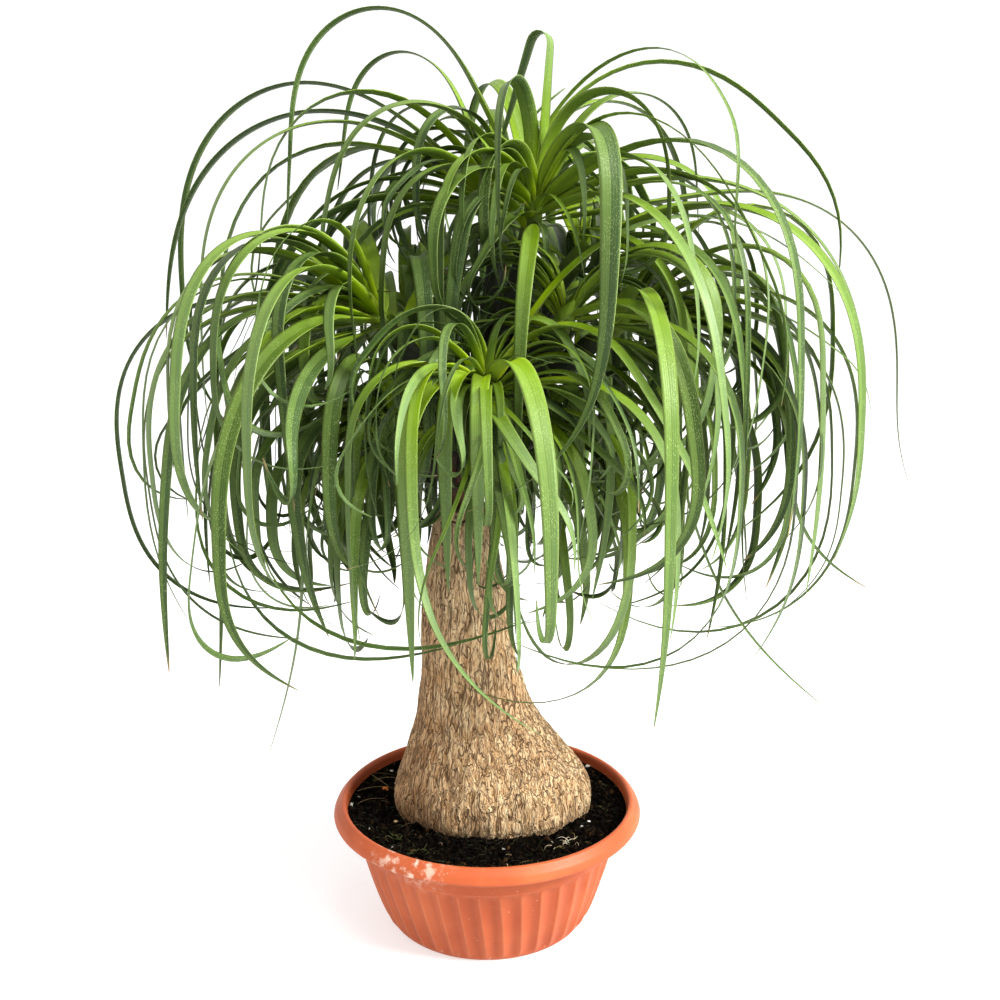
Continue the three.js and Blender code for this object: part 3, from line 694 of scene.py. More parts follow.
# %% Slim leaves and wisps
SLIM_LEAVES, SLIM_SEED, SLIM_CURL = 50, 50, (0, 110)
WISPS, WISP_SEED = 18, 390
SLIM_TRIES, SLIM_FREE = 40, 110
SHARES = ("width", "length")
SLIM = {"age": (0.1, 1), "width": (0.4, 1.0), "length": (0.4, 1.05), "fall": (-95, -30),
        "sweep": (-95, 95)}
WISP = {"age": (0.5, 1), "width": (0.3, 0.5), "length": (0.85, 1.2), "sweep": (-110, 110),
        "curl": (-150, 95)}


def leaf_of(kind, head, number, draws):
    leaf = ruled_leaf(head, number, draws.between(*kind["age"]), draws)
    for key in list(kind)[1:]:
        drawn = draws.between(*kind[key])
        leaf[key] = leaf[key] * drawn if key in SHARES else drawn
    return leaf


def join(head, line):
    if line:
        head["extra"].append(line)


def extra_count():
    return sum(len(head["extra"]) for head in heads)


for i in range(SLIM_LEAVES):
    for head in heads:
        draws = draws_for(head, SLIM_SEED + i)
        leaf = leaf_of(SLIM, head, head["leaves"] + i, draws)
        leaf["curl"] -= draws.between(*SLIM_CURL)
        join(head, settle(leaf, head, draws, NUDGE_RULED, False, SLIM_TRIES, None, SLIM_FREE))
for i in range(WISPS):
    for head in heads:
        draws = draws_for(head, WISP_SEED + i)
        leaf = leaf_of(WISP, head, i, draws)
        join(head, settle(leaf, head, draws, NUDGE_RULED, False, SLIM_TRIES, None, SLIM_FREE))
print("Slim leaves and wisps:", extra_count(), "of", (SLIM_LEAVES + WISPS) * len(heads))

# %% [markdown]
# ## Long sweeps
#
# A few long leaves arch high over the crown or sweep low out of it and give it its loose outline. They
# show one by one, so they are listed with their curves like the first ones, but they are too slim for
# the solids.

# %% Long sweeps
SWEEP_SEED = 490
SWEEPS = [  # the same keys as the leaves that show
    ("right", 335, 10, 580, 0, 0.4, -88, -100, 20, 10, 15),
    ("right", 350, 20, 620, 0, 0.42, -86, -125, 10, 0, 13),
    ("middle", 320, 10, 560, 0, 0.45, -90, -110, 30, 0, 14),
    ("front", 340, 0, 480, 0.05, 0.36, -88, -120, -60, 20, 13),
    ("low_right", 300, 0, 480, 0.05, 0.36, -88, -120, 60, 20, 13),
    ("left", 232, 20, 590, 0.05, 0.36, -88, -115, -60, 20, 13),
    ("left", 215, 5, 540, 0, 0.4, -88, -105, -30, 20, 13),
    ("crown", 188, 50, 460, 0.05, 0.7, -85, 30, 0, 10, 16),
    ("left", 205, 45, 480, 0.05, 0.55, -88, -70, 0, 10, 15),
    ("crown", 150, 30, 540, 0.05, 0.7, -86, 40, 15, 10, 15),
    ("crown", 180, 30, 520, 0.05, 0.7, -86, 20, 0, 10, 15),
    ("left", 220, 45, 380, 0.05, 0.7, -86, -10, 30, 10, 15),
    ("right", 340, 45, 460, 0.05, 0.55, -86, -10, -30, 10, 15),
    ("right", 0, 58, 540, 0.05, 0.55, -86, -70, 30, 10, 14),
    ("top", 320, 30, 520, 0.05, 0.7, -86, -10, 0, 10, 15),
]
before = extra_count()
for i, row in enumerate(SWEEPS):
    leaf = dict(zip(LEAF_KEYS, row))
    head = by_name[leaf["head"]]
    join(head, settle(leaf, head, Draws(LEAF_SEED * (SWEEP_SEED + i)), NUDGE_SHOWN, False))
print("Long sweeps:", extra_count() - before, "of", len(SWEEPS))

# %% [markdown]
# ## Low leaves
#
# Older leaves hang down round the shoots under each rosette and hide them. Each starts on its shoot, the
# later ones farther down, and has a thin foot there.

# %% Low leaves
LOW_LEAVES, LOW_TRIES, LOW_SEED, LOW_FREE = 34, 30, 190, 999
LOW_FOOT, LOW_SPAN, LOW_OUT, LOW_TONE = 0.1, 0.75, 6, (0.55, 1)
LOW = {"age": (0.7, 1), "width": (0.6, 1.0), "length": (0.2, 0.7), "bent": (0.35, 0.7), "rise": (15, 75),
       "sweep": (-80, 80)}
before = extra_count()
for i in range(LOW_LEAVES):
    for head in heads:
        draws = draws_for(head, LOW_SEED + i)
        leaf = leaf_of(LOW, head, i, draws)
        leaf["compass"] = head["phase"] + i * GOLDEN_ANGLE
        down = 1 - LOW_SPAN * (i + 0.5) / LOW_LEAVES
        out = way(leaf["compass"], leaf["rise"]) * LOW_OUT
        foot = shoot_line(head["middle"], head["axis"], [down])[0] + out
        line = settle(leaf, head, draws, NUDGE_RULED, False, LOW_TRIES, foot, LOW_FREE)
        if line:
            line.update(tone=draws.between(*LOW_TONE), half=line["half"] * ease((T + 0.01) / LOW_FOOT))
        join(head, line)
print("Low leaves:", extra_count() - before, "of", LOW_LEAVES * len(heads))

# %% [markdown]
# ## Leaves of the heart
#
# In each rosette's heart short young leaves stand nearly upright. They grow last, into what room the
# others leave.

# %% Leaves of the heart
HEART_LEAVES, HEART_TRIES, HEART_SEED = 12, 12, 290
HEART_AGE, HEART_AGES = 0.02, 0.16
HEART_LENGTH, HEART_LONGER, HEART_WIDTH, HEART_BEND = (50, 110), 12, (5, 10), (15, 90)
before = extra_count()
for i in range(HEART_LEAVES):
    for head in heads:
        draws = draws_for(head, HEART_SEED + i)
        leaf = ruled_leaf(head, i, HEART_AGE + HEART_AGES * i / HEART_LEAVES, draws)
        leaf["length"] = draws.between(*HEART_LENGTH) + HEART_LONGER * i
        leaf["width"] = draws.between(*HEART_WIDTH)
        leaf.update(straight=0.1, bent=0.95, fall=leaf["rise"] - draws.between(*HEART_BEND), curl=0)
        join(head, settle(leaf, head, draws, NUDGE_RULED, False, HEART_TRIES))
print("Leaves of the heart:", extra_count() - before, "of", HEART_LEAVES * len(heads))
print("Slim, low and young leaves:", extra_count())

# %% [markdown]
# ## The leaf's colours
#
# A leaf is lime at its foot, green along its arch and greyer towards its end, with a pale margin, fine
# stripes along it and small flecks. Painting hundreds of leaves would be slow, so the colour follows
# attributes that each blade carries: how far along and across it a point lies, whether it is on the upper
# side, and the leaf's own tone and age. Light is painted in too: one half of the fold is lighter as a
# painted highlight, the underside darker as painted shade, and some leaves pale along their outer half
# as a painted reflection of the sky.

# %% The leaf's finish
leaf_green = Finish("leaf green", (0.08, 0.15, 0.02), Roughness=0.36, Specular_IOR_Level=0.22)
along, across = leaf_green.attribute("along"), leaf_green.attribute("across")
tone, age, upper = leaf_green.attribute("tone"), leaf_green.attribute("age"), leaf_green.attribute("upper")
mottle = leaf_green.noise(28, 3)
reach = along + 0.10 * (mottle - 0.5) + 0.05 * age
body = leaf_green.bands(
    reach,
    (0.0, (0.42, 0.50, 0.02)), (0.07, (0.30, 0.42, 0.003)), (0.20, (0.17, 0.27, 0.004)),
    (0.38, (0.12, 0.195, 0.011)), (0.65, (0.085, 0.142, 0.034)), (1.0, (0.092, 0.142, 0.055)),
)
# Dark tones make a leaf deeper green past its foot; the back rosettes' leaves get these tones as painted
# shade.
deep = leaf_green.mix(leaf_green.ramp(tone, 0.7, 0.72), (0.014, 0.032, 0.010), (0.036, 0.064, 0.030))
dark = leaf_green.ramp(tone, 0.38, 0.8) * leaf_green.ramp(along, 0.06, 0.34)
body = leaf_green.mix(dark * 0.85, body, deep)
# Painted reflection: leaves of low tone turn pale grey-green along their outer half, in place of the sky's
# reflection.
pale = leaf_green.ramp(0.4 - tone, 0.0, 0.15) * leaf_green.ramp(along, 0.25, 0.6)
body = leaf_green.mix(pale * 0.8, body, (0.135, 0.20, 0.085))
# Painted shade: past its foot the underside of each blade is darker.
under = (1 - leaf_green.ramp(upper, -0.6, 0.2)) * leaf_green.ramp(along, 0.1, 0.3)
body = leaf_green.mix(under * 0.45, body, (0.035, 0.065, 0.022))
stripes = (across * 24 + 3 * mottle).wave() * 0.5 + 0.5
body = leaf_green.mix(stripes * 0.14, body, (0.17, 0.26, 0.02))
rib = 1 - leaf_green.ramp(across.size(), 0.0, 0.1)
body = leaf_green.mix(rib * 0.2, body, (0.03, 0.06, 0.01))
# Painted highlight: one half of each blade, across its fold, is lighter, as where the fold faces the light.
half = leaf_green.ramp(across, -0.02, 0.02)
body = leaf_green.mix(half * 0.32, body, (0.20, 0.29, 0.07))
margin = leaf_green.ramp(across.size(), 0.88, 0.97)
body = leaf_green.mix(margin * 0.6, body, (0.34, 0.42, 0.13))
speckled = leaf_green.ramp(leaf_green.noise(60, 2, seed=4), 0.35, 0.6)
flecks = (1 - leaf_green.ramp(leaf_green.cells(900, (1, 1, 0.6)), 0.12, 0.4)) * speckled * (1 - margin)
body = leaf_green.mix(flecks * 0.4, body, (0.46, 0.54, 0.24))
dry = leaf_green.ramp(along + 0.06 * tone, 1.0, 1.045)
body = leaf_green.mix(dry, body, (0.30, 0.22, 0.11))
leaf_green.feed("Base Color", body)
leaf_green.feed("Roughness", 0.32 + 0.16 * mottle + 0.12 * flecks)
leaf_green.relief(stripes, 0.0001, 0.5)
print("Leaf finish:", len(leaf_green.tree.nodes), "nodes")

# %% [markdown]
# ## A leaf's blade
#
# A blade is a long thin strap with thin edges, folded along its middle near its foot and flatter farther
# out. It could be lofted face by face. Here Geometry Nodes sweep one flattened circle along every leaf's
# line, scaled by the half width that each point carries, and then lift its edges to fold it.

# %% The blade's net
blades = GeometryNet("Leaf blades", {"Sides": 8, "Thickness": 0.09, "Fold": 0.6, "Flattened": 0.8})
line = blades.add("GeometryNodeMeshToCurve", {"Mesh": blades.given["Geometry"]})
sockets = {"Curve": line, "Normal": blades.attribute("up", "FLOAT_VECTOR")}
line = blades.add("GeometryNodeSetCurveNormal", sockets, mode="FREE")
ring = blades.add("GeometryNodeCurvePrimitiveCircle", {"Resolution": blades.given["Sides"], "Radius": 1.0})
x, y, _ = blades.parts(blades.add("GeometryNodeInputPosition"))
ring = blades.keep(blades.keep(ring, "across", x), "upper", y)
flattened = blades.point(blades.given["Thickness"] * y, x, 0.0)
ring = blades.add("GeometryNodeSetPosition", {"Geometry": ring, "Position": flattened})
sockets = {"Curve": line, "Profile Curve": ring, "Scale": blades.attribute("half"), "Fill Caps": True}
strap = blades.add("GeometryNodeCurveToMesh", sockets)
farther = blades.ramp(blades.attribute("along"), 0.1, 0.5)
fold = blades.given["Fold"] * (1 - blades.given["Flattened"] * farther)
rise = fold * (blades.attribute("across").size() - 0.4) * blades.attribute("half")
sockets = {"Geometry": strap, "Offset": blades.scaled(blades.attribute("up", "FLOAT_VECTOR"), rise)}
blades.done(blades.add("GeometryNodeSetPosition", sockets), leaf_green.material)
print("Leaf net:", len(blades.tree.nodes), "nodes")

# %% [markdown]
# ## The rosettes' leaves
#
# Each rosette's lines become one mesh of edges whose points carry the leaf's upward direction, its half
# width in metres, how far along the leaf they lie, and a tone and an age for the colour. The net turns
# them into blades. A leaf is wider where it sheathes the rosette's core. The front rosette is the lime
# one, and the leaves of those at the back are given a deeper green as painted shade.


# %% Leaves on the rosettes
SHEATH, SHEATH_END = 0.85, 0.21
FOOT_SHARE, FOOT_END = 0.35, 0.06
HANGING, HANGING_SHARE, HANGING_END = 2, 0.06, 0.22  # a leaf that sets out level or lower has a thin foot
TONE_STEP, TONE_WIDTH = 0.618, 0.37
LIME_AGE, LIME_TONE = -1.6, 0.36
# The back rosettes' leaves get dark tones as painted shade.
SHADED, SHADE_TONE = ("back_left", "back_right", "back_low"), 0.5


def chains(lines):
    at, up, half, run, tones, ages, edges = [], [], [], [], [], [], []
    for number, line in enumerate(lines):
        rows = slice(None, None, line["step"])
        base = sum(len(p) for p in at)
        points = line["at"][rows]
        at.append(points)
        up.append(np.cross(line["along"], line["side"])[rows])
        sheath = 1 + SHEATH * (1 - ease(T[rows] / SHEATH_END))
        foot = FOOT_SHARE + (1 - FOOT_SHARE) * ease(T[rows] / FOOT_END)
        if line["rise"][0] < math.radians(HANGING):
            sheath, foot = 1, HANGING_SHARE + (1 - HANGING_SHARE) * ease(T[rows] / HANGING_END)
        half.append(line["half"][rows] * sheath * foot * MM)
        run.append(T[rows])
        tone = line.get("tone", (number * TONE_STEP + line["width"] * TONE_WIDTH) % 1)
        tones.append(np.full(len(points), tone))
        ages.append(np.full(len(points), line["age"]))
        edges.append(base + np.stack([np.arange(len(points) - 1), np.arange(1, len(points))], -1))
    values = {"up": np.concatenate(up), "half": np.concatenate(half), "along": np.concatenate(run),
              "tone": np.concatenate(tones), "age": np.concatenate(ages)}
    return np.concatenate(at), np.concatenate(edges), values


for head in heads:
    for number, line in enumerate(head["grown"]):
        line.update(step=1, age=1.0)
        if head["name"] == "front":
            line.update(age=LIME_AGE, tone=LIME_TONE * (number * TONE_STEP % 1))
        # Painted shade: the back rosettes' leaves are given dark tones.
        if head["name"] in SHADED:
            line.update(tone=1 - SHADE_TONE * (number * TONE_STEP % 1))
    for line in head["extra"]:
        line.update(step=2, age=0.0)
    at, edges, values = chains(head["grown"] + head["extra"])
    leaves = mesh_piece(f"leaves_{head['name']}", at, edges, (), values)
    work(leaves, blades)
    finished(leaves, "leaf", f"rosette_{head['name']}")

# %% [markdown]
# ## The trunk
#
# The foot of the trunk is a corky swelling, cracked into fine upright ridges, and the neck above it is
# smoother and browner. Here the finish gets its cracks from stretched noise: they lie where the noise
# crosses its middle value. A bark painted on flat picture maps would stretch at the swelling, and this
# follows the place in metres instead. Light is painted in as well: the lower neck is lighter as painted
# light, the left side darker and redder as painted shade, and the raised ridges lighter as a painted
# highlight.


# %% Bark finish
SPLIT_HEIGHT, SPLIT_MIDDLE = 0.400, -0.026
bark = Finish("bark", (0.5, 0.33, 0.17), Roughness=0.85, Specular_IOR_Level=0.25)
x, _, height = bark.parts(bark.place)
ridge = bark.attribute("ridge")
sway = bark.add("ShaderNodeTexNoise", {"Vector": bark.place, "Scale": 60.0, "Detail": 2.0}, 1)
swayed = bark.vector("ADD", bark.place, bark.scaled(bark.vector("SUBTRACT", sway, (0.5, 0.5, 0.5)), 0.007))


def crack(scale, flatness, seed, width):
    where = bark.vector("MULTIPLY", swayed, (1, 1, flatness))
    return 1 - bark.ramp((bark.noise(scale, 1.0, seed=seed, place=where) - 0.5).size(), 0.0, width)


strands = bark.noise(480, 3, seed=3, roughness=0.62, place=bark.vector("MULTIPLY", swayed, (1, 1, 0.19)))
low = 1 - bark.ramp(height, 0.17, 0.26)
cracks = crack(185, 0.1, 1, 0.035).larger(crack(380, 0.17, 6, 0.04) * 0.6)
cracks = cracks.larger(crack(105, 0.05, 9, 0.02) * low * 0.45)
grain = bark.noise(900, 2, (1, 1, 0.5))
patch = bark.noise(16, 3, seed=5)
# Painted highlight: the raised ridges are lighter, towards cream.
tan = bark.bands(
    strands * 1.1 + ridge * 0.35 + grain * 0.2 - 0.35,
    (0.0, (0.24, 0.13, 0.06)), (0.3, (0.48, 0.31, 0.155)), (0.5, (0.63, 0.44, 0.25)),
    (0.75, (0.77, 0.60, 0.37)), (1.0, (0.90, 0.78, 0.55)),
)
tan = bark.mix(bark.ramp(patch, 0.45, 0.75) * 0.35, tan, (0.27, 0.14, 0.062))
# Painted light: the lower neck is lightened towards cream, as where light falls on it.
tan = bark.mix(bark.ramp(height, 0.26, 0.35) * 0.3, tan, (0.95, 0.74, 0.48))
# Painted shade: the trunk's left side is darker and redder, as the side away from the light.
tan = bark.mix(bark.ramp(-0.02 - x, 0.0, 0.045) * 0.4, tan, (0.42, 0.20, 0.08))
tan = bark.mix(cracks * 0.8, tan, (0.085, 0.038, 0.015))
split = 1 - bark.ramp((height - SPLIT_HEIGHT + 0.01 * (patch - 0.5)).size(), 0.0005, 0.0016)
split = split * (1 - bark.ramp((x - SPLIT_MIDDLE).size(), 0.008, 0.016))
tan = bark.mix(split * 0.9, tan, (0.03, 0.012, 0.005))
bark.feed("Base Color", tan)
bark.feed("Roughness", 0.7 + 0.2 * grain)
bark.relief(strands + 0.25 * grain - 0.7 * cracks, 0.0035, 1.0)
print("Bark finish:", len(bark.tree.nodes), "nodes")

# %% [markdown]
# ## Bark relief
#
# The coarser ridges and lumps are raised on the mesh itself, so that they show in the outline and catch
# the light. A sculpted mesh would do, but the bark follows a rule, so Geometry Nodes push each point out
# along its normal by stretched noise. The ridges' height stays on the mesh as an attribute, and the
# colour is lighter where it is high, as a painted highlight on the ridges' tops.

# %% Bark relief net
relief = GeometryNet("Bark relief", {
    "Ridge depth": 0.0011, "Lump depth": 0.0016, "Ridges": 190.0, "Lumps": 45.0,
})
place = relief.add("GeometryNodeInputPosition")
sockets = {"Vector": relief.vector("MULTIPLY", place, (1, 1, 0.7)), "Scale": 55.0, "Detail": 2.0}
wobble = relief.add("ShaderNodeTexNoise", sockets, 1)
bent = relief.vector("ADD", place, relief.scaled(relief.vector("SUBTRACT", wobble, (0.5, 0.5, 0.5)), 0.010))
upright = relief.vector("MULTIPLY", bent, (1, 1, 0.2))
sockets = {"Vector": upright, "Scale": relief.given["Ridges"], "Detail": 2.0}
ridges = relief.ramp(relief.add("ShaderNodeTexNoise", sockets), 0.34, 0.66)
rounder = relief.vector("MULTIPLY", bent, (1, 1, 0.5))
sockets = {"Vector": rounder, "Scale": relief.given["Lumps"], "Detail": 1.0}
lumps = relief.add("ShaderNodeTexNoise", sockets)
rise = (ridges - 0.6) * relief.given["Ridge depth"] + (lumps - 0.6) * relief.given["Lump depth"]
raised = relief.keep(relief.given["Geometry"], "ridge", ridges)
offset = relief.scaled(relief.add("GeometryNodeInputNormal"), rise)
relief.done(relief.add("GeometryNodeSetPosition", {"Geometry": raised, "Offset": offset}), bark.material)
print("Bark net:", len(relief.tree.nodes), "nodes")

# %% [markdown]
# ## The trunk's body
#
# The body is a smooth skin through the trunk's rings with a row of points every millimetre and a half,
# fine enough for the relief. A loft tool would need the rings as curves, but a table is read faster by a
# short rule. Two slow waves keep it from being quite round.


# %% The trunk's body
def grid_faces(rows, columns):
    i, k = np.meshgrid(np.arange(rows - 1), np.arange(columns), indexing="ij")
    a, b = i * columns + k, i * columns + (k + 1) % columns
    return np.stack([a, b, b + columns, a + columns], -1).reshape(-1, 4)


def soft(rows, xs, x):
    """A smooth line through a table's rows, with the slopes of its neighbours."""
    slope = np.gradient(rows, xs)
    i = np.clip(np.searchsorted(xs, x) - 1, 0, len(xs) - 2)
    span = xs[i + 1] - xs[i]
    t = (x - xs[i]) / span
    low, high = rows[i], rows[i + 1]
    return ((2 * t ** 3 - 3 * t ** 2 + 1) * low + (t ** 3 - 2 * t ** 2 + t) * span * slope[i]
            + (3 * t ** 2 - 2 * t ** 3) * high + (t ** 3 - t ** 2) * span * slope[i + 1])


BARK_COLUMNS, BARK_ROWS = 400, 216
heights = np.linspace(TRUNK[0, 0], TRUNK[-1, 0] - 2, BARK_ROWS)
turns = 2 * math.pi * np.arange(BARK_COLUMNS) / BARK_COLUMNS
mx, my, across_mm, deep_mm = [soft(TRUNK[:, k], TRUNK[:, 0], heights)[:, None] for k in range(1, 5)]
slow = 1 + 0.012 * (np.sin(11 * turns + heights[:, None] / 19) + np.sin(7 * turns - heights[:, None] / 31))
shell = np.stack([mx + across_mm * slow * np.cos(turns), my + deep_mm * slow * np.sin(turns),
                  heights[:, None] + 0 * turns], -1).reshape(-1, 3)
faces = grid_faces(BARK_ROWS, BARK_COLUMNS).tolist()
faces.append(list(range(BARK_COLUMNS))[::-1])
faces.append([(BARK_ROWS - 1) * BARK_COLUMNS + k for k in range(BARK_COLUMNS)])
trunk = mesh_piece("trunk_bark", shell, (), faces)
work(trunk, relief)
finished(trunk, "bark", "trunk")

# %% [markdown]
# ## Shoots
#
# A short shoot carries each rosette. Round tubes along the shoots' lines sink into the trunk's top and
# end in a pale point inside the rosette's leaf bases, and between they are painted near black as shade.
# One dry stub stands beside them. Each could be a bevelled curve, but one small net sweeps them all, and
# serves the straws on the soil later.

# %% Shoots and their net
shoot_skin = Finish("shoot", (0.2, 0.2, 0.06), Roughness=0.6)
along = shoot_skin.attribute("along")
grain = shoot_skin.noise(240, 3, (1, 1, 0.4))
# Painted shade: between its brown foot and its lime tip each shoot is near black, as shade inside the crown.
skin = shoot_skin.bands(
    along + 0.1 * (grain - 0.5),
    (0.0, (0.16, 0.07, 0.035)), (0.12, (0.20, 0.07, 0.035)), (0.3, (0.03, 0.024, 0.012)),
    (0.8, (0.02, 0.03, 0.01)), (0.97, (0.22, 0.33, 0.02)),
)
shoot_skin.feed("Base Color", skin)
shoot_skin.relief(grain, 0.0008)


def round_tubes(finish):
    net = GeometryNet("Round tubes", {"Sides": 8})
    line = net.add("GeometryNodeMeshToCurve", {"Mesh": net.given["Geometry"]})
    ring = net.add("GeometryNodeCurvePrimitiveCircle", {"Resolution": net.given["Sides"], "Radius": 1.0})
    sockets = {"Curve": line, "Profile Curve": ring, "Scale": net.attribute("half"), "Fill Caps": True}
    net.done(net.add("GeometryNodeCurveToMesh", sockets), finish.material)
    return net


def chain_edges(chains_count, points_each):
    steps = np.stack([np.arange(points_each - 1), np.arange(1, points_each)], -1)
    return np.concatenate([number * points_each + steps for number in range(chains_count)])


SHOOT_POINTS = 40
SHOOT_TIP = 18
STUB = [(-11, -4, 398), (-8, -12, 420), (-3, -20, 441)]
at, half, run = [], [], []
t = np.linspace(0, 1, SHOOT_POINTS)
for head in heads:
    tip = head["middle"] + head["axis"] * SHOOT_TIP
    at.append(shoot_line(tip, head["axis"], t))
    half.append(np.interp(t, [0, 0.7, 0.86, 0.95, 1], [11, 9, 9.5, 8, 0.8]) * MM)
    run.append(t)
low, middle, tip = np.array(STUB)
at.append(low + (middle - low) * 2 * t[:, None] + (tip - 2 * middle + low) * t[:, None] ** 2)
half.append(np.interp(t, [0, 0.6, 0.9, 1], [7, 5, 3.5, 0.5]) * MM)
run.append(0.12 * t)
values = {"half": np.concatenate(half), "along": np.concatenate(run)}
shoots = mesh_piece("shoots", np.concatenate(at), chain_edges(len(at), SHOOT_POINTS), (), values)
work(shoots, round_tubes(shoot_skin), Sides=16)
finished(shoots, "bark")

# %% [markdown]
# ## The pot
#
# The bowl is one moulding of orange plastic: a rolled lip with a raised edge, a plain neck, and flutes
# that lap over each other round the body. The plastic is a little cloudy and dusty, worn at its foot and
# marked with a chalky smear on the lip. All of this is laid out by the place in metres, because the pot
# was never unwrapped.

# %% Plastic finish
POT_HEIGHT, LIP_RADIUS, LIP_LOW, CREST_RADIUS = 121, 150, 106.5, 140.5
NECK_RADIUS, BODY_RADIUS, BASE_RADIUS, FLUTE_TOP = 128, 124.5, 95, 83
WALL, FLOOR_RADIUS, BOWL_BEND = 3, 91, 0.72
THROAT_RADIUS, THROAT_LOW, NECK_INSIDE, NECK_TOP = 136.5, 110, 125.2, 104
FLUTES, FLUTE_DEPTH, FLUTE_OUT, FLUTE_LEAN, FLUTE_SLANT, FLUTE_TURN = 40, 3, 0.4, 0.24, 0.06, -0.054
LIME_SPOT = (-0.071, -0.129, 0.116)
terracotta = Finish("terracotta plastic", (0.45, 0.115, 0.045), Roughness=0.42, Specular_IOR_Level=0.3)
cloud = terracotta.noise(14, 4, seed=1)
dust = terracotta.noise(120, 4, seed=2)
clay = terracotta.mix(terracotta.ramp(cloud, 0.35, 0.7), (0.42, 0.098, 0.034), (0.50, 0.135, 0.050))
clay = terracotta.mix(terracotta.ramp(dust, 0.55, 0.8) * 0.2, clay, (0.55, 0.26, 0.15))
spread = terracotta.add("ShaderNodeVectorMath", {0: terracotta.place, 1: LIME_SPOT}, 1, operation="DISTANCE")
smears = terracotta.ramp(terracotta.noise(110, 4, seed=7, roughness=0.6), 0.47, 0.62)
lime = smears * (1 - terracotta.ramp(spread, 0.012, 0.052))
clay = terracotta.mix(lime * 0.75, clay, (0.74, 0.58, 0.48))
_, _, height = terracotta.parts(terracotta.place)
foot = 1 - terracotta.ramp(height, 0.002, 0.009)
worn = terracotta.ramp(terracotta.noise(160, 3, (1, 1, 0.5), seed=8), 0.6, 0.7) * foot
some = terracotta.ramp(terracotta.noise(30, 1, seed=9), 0.55, 0.6)
specks = (1 - terracotta.ramp(terracotta.cells(130), 0.05, 0.12)) * some
clay = terracotta.mix(worn * 0.7 + specks * 0.6, clay, (0.70, 0.50, 0.40))
marks = 1 - terracotta.ramp(terracotta.cells(52, (1.07, 0.93, 1.01)), 0.04, 0.07)
clay = terracotta.mix(marks * terracotta.ramp(cloud, 0.5, 0.56) * 0.7, clay, (0.08, 0.03, 0.02))
# Painted highlight: a lighter line along each flute's sharp crest.
clay = terracotta.mix(terracotta.attribute("crest_highlight") * 0.35, clay, (0.64, 0.25, 0.12))
# Painted shade: each flute's hollow darkens towards its deepest part.
clay = terracotta.mix(terracotta.attribute("groove_shade") * 0.4, clay, (0.27, 0.055, 0.02))
# Painted shade: a dark band on the neck just under the lip, where the lip shades it.
under_lip_shade = terracotta.ramp(height, 0.095, 0.104) * (1 - terracotta.ramp(height, 0.1065, 0.108))
clay = terracotta.mix(under_lip_shade * 0.5, clay, (0.22, 0.045, 0.017))
terracotta.feed("Base Color", clay)
terracotta.feed("Roughness", 0.36 + 0.2 * dust + 0.2 * lime)
terracotta.relief(dust + lime, 0.0003, 0.5)
print("Plastic finish:", len(terracotta.tree.nodes), "nodes")

# %% [markdown]
# ## Flutes
#
# Each flute swells slowly and drops in a sharp step to the next one. Forty cutters could carve them, but
# the wall is one thin skin, so the net moves its outer side in and out by how far round the pot a point
# lies. It keeps the crests and grooves as attributes for the colour: a painted highlight along the crests
# and painted shade in the grooves.

# %% Flute net
flutes = GeometryNet("Hollow flutes", {
    "Flutes": FLUTES, "Depth": FLUTE_DEPTH * MM, "Out": FLUTE_OUT,
    "Lean": FLUTE_LEAN, "Slant": FLUTE_SLANT, "Turn": FLUTE_TURN,
})
x, y, z = flutes.parts(flutes.add("GeometryNodeInputPosition"))
turn = flutes.add("ShaderNodeMath", {0: y, 1: x}, operation="ARCTAN2")
slanted = turn - flutes.given["Turn"] - flutes.given["Slant"] * (1 - z / (FLUTE_TOP * MM))
phase = (slanted * flutes.given["Flutes"] / (2 * math.pi) + 100).math("FRACT")
deepest = 0.5 + flutes.given["Lean"] / 2
hollow = (1 - phase / deepest).larger((phase - deepest) / (1 - deepest))
swell = hollow * hollow + flutes.given["Out"] - 1
above_foot = flutes.ramp(z, 1 * MM, 10 * MM)
below_neck = 1 - flutes.ramp(z, (FLUTE_TOP - 2.5) * MM, (FLUTE_TOP - 0.3) * MM)
level = above_foot * below_neck * flutes.attribute("outside")
push = swell * flutes.given["Depth"] * level
# The mask of the painted highlight along the crests.
crest_highlight = flutes.ramp(hollow, 0.86, 0.99) * level
# The mask of the painted shade in the flutes' hollows.
groove_shade = (1 - hollow) * (1 - hollow) * level
fluted = flutes.keep(flutes.keep(flutes.given["Geometry"], "crest_highlight", crest_highlight), "groove_shade", groove_shade)
reach = (x * x + y * y) ** 0.5
moved = flutes.point(x / reach * push, y / reach * push, 0.0)
pushed = flutes.add("GeometryNodeSetPosition", {"Geometry": fluted, "Offset": moved})
flutes.done(pushed, terracotta.material)
print("Flute net:", len(flutes.tree.nodes), "nodes")

# %% [markdown]
# ## The pot's body
#
# The half section runs from the base's edge up the outer wall, over the lip and down the inner wall to
# the floor. It is turned round the axis, and a fan of triangles closes each end. The Spin tool would do
# the same, but in code the rows of points can follow the flutes' slant, so that each step stays sharp.


# %% The pot's body
def body_radius(z):
    return BASE_RADIUS + (BODY_RADIUS - BASE_RADIUS) * (z / FLUTE_TOP) ** BOWL_BEND


def inner_radius(z):
    neck = BODY_RADIUS - WALL + (NECK_INSIDE + WALL - BODY_RADIUS) * (z - FLUTE_TOP) / (NECK_TOP - FLUTE_TOP)
    return np.where(z <= FLUTE_TOP, body_radius(np.minimum(z, FLUTE_TOP)) - WALL, neck)


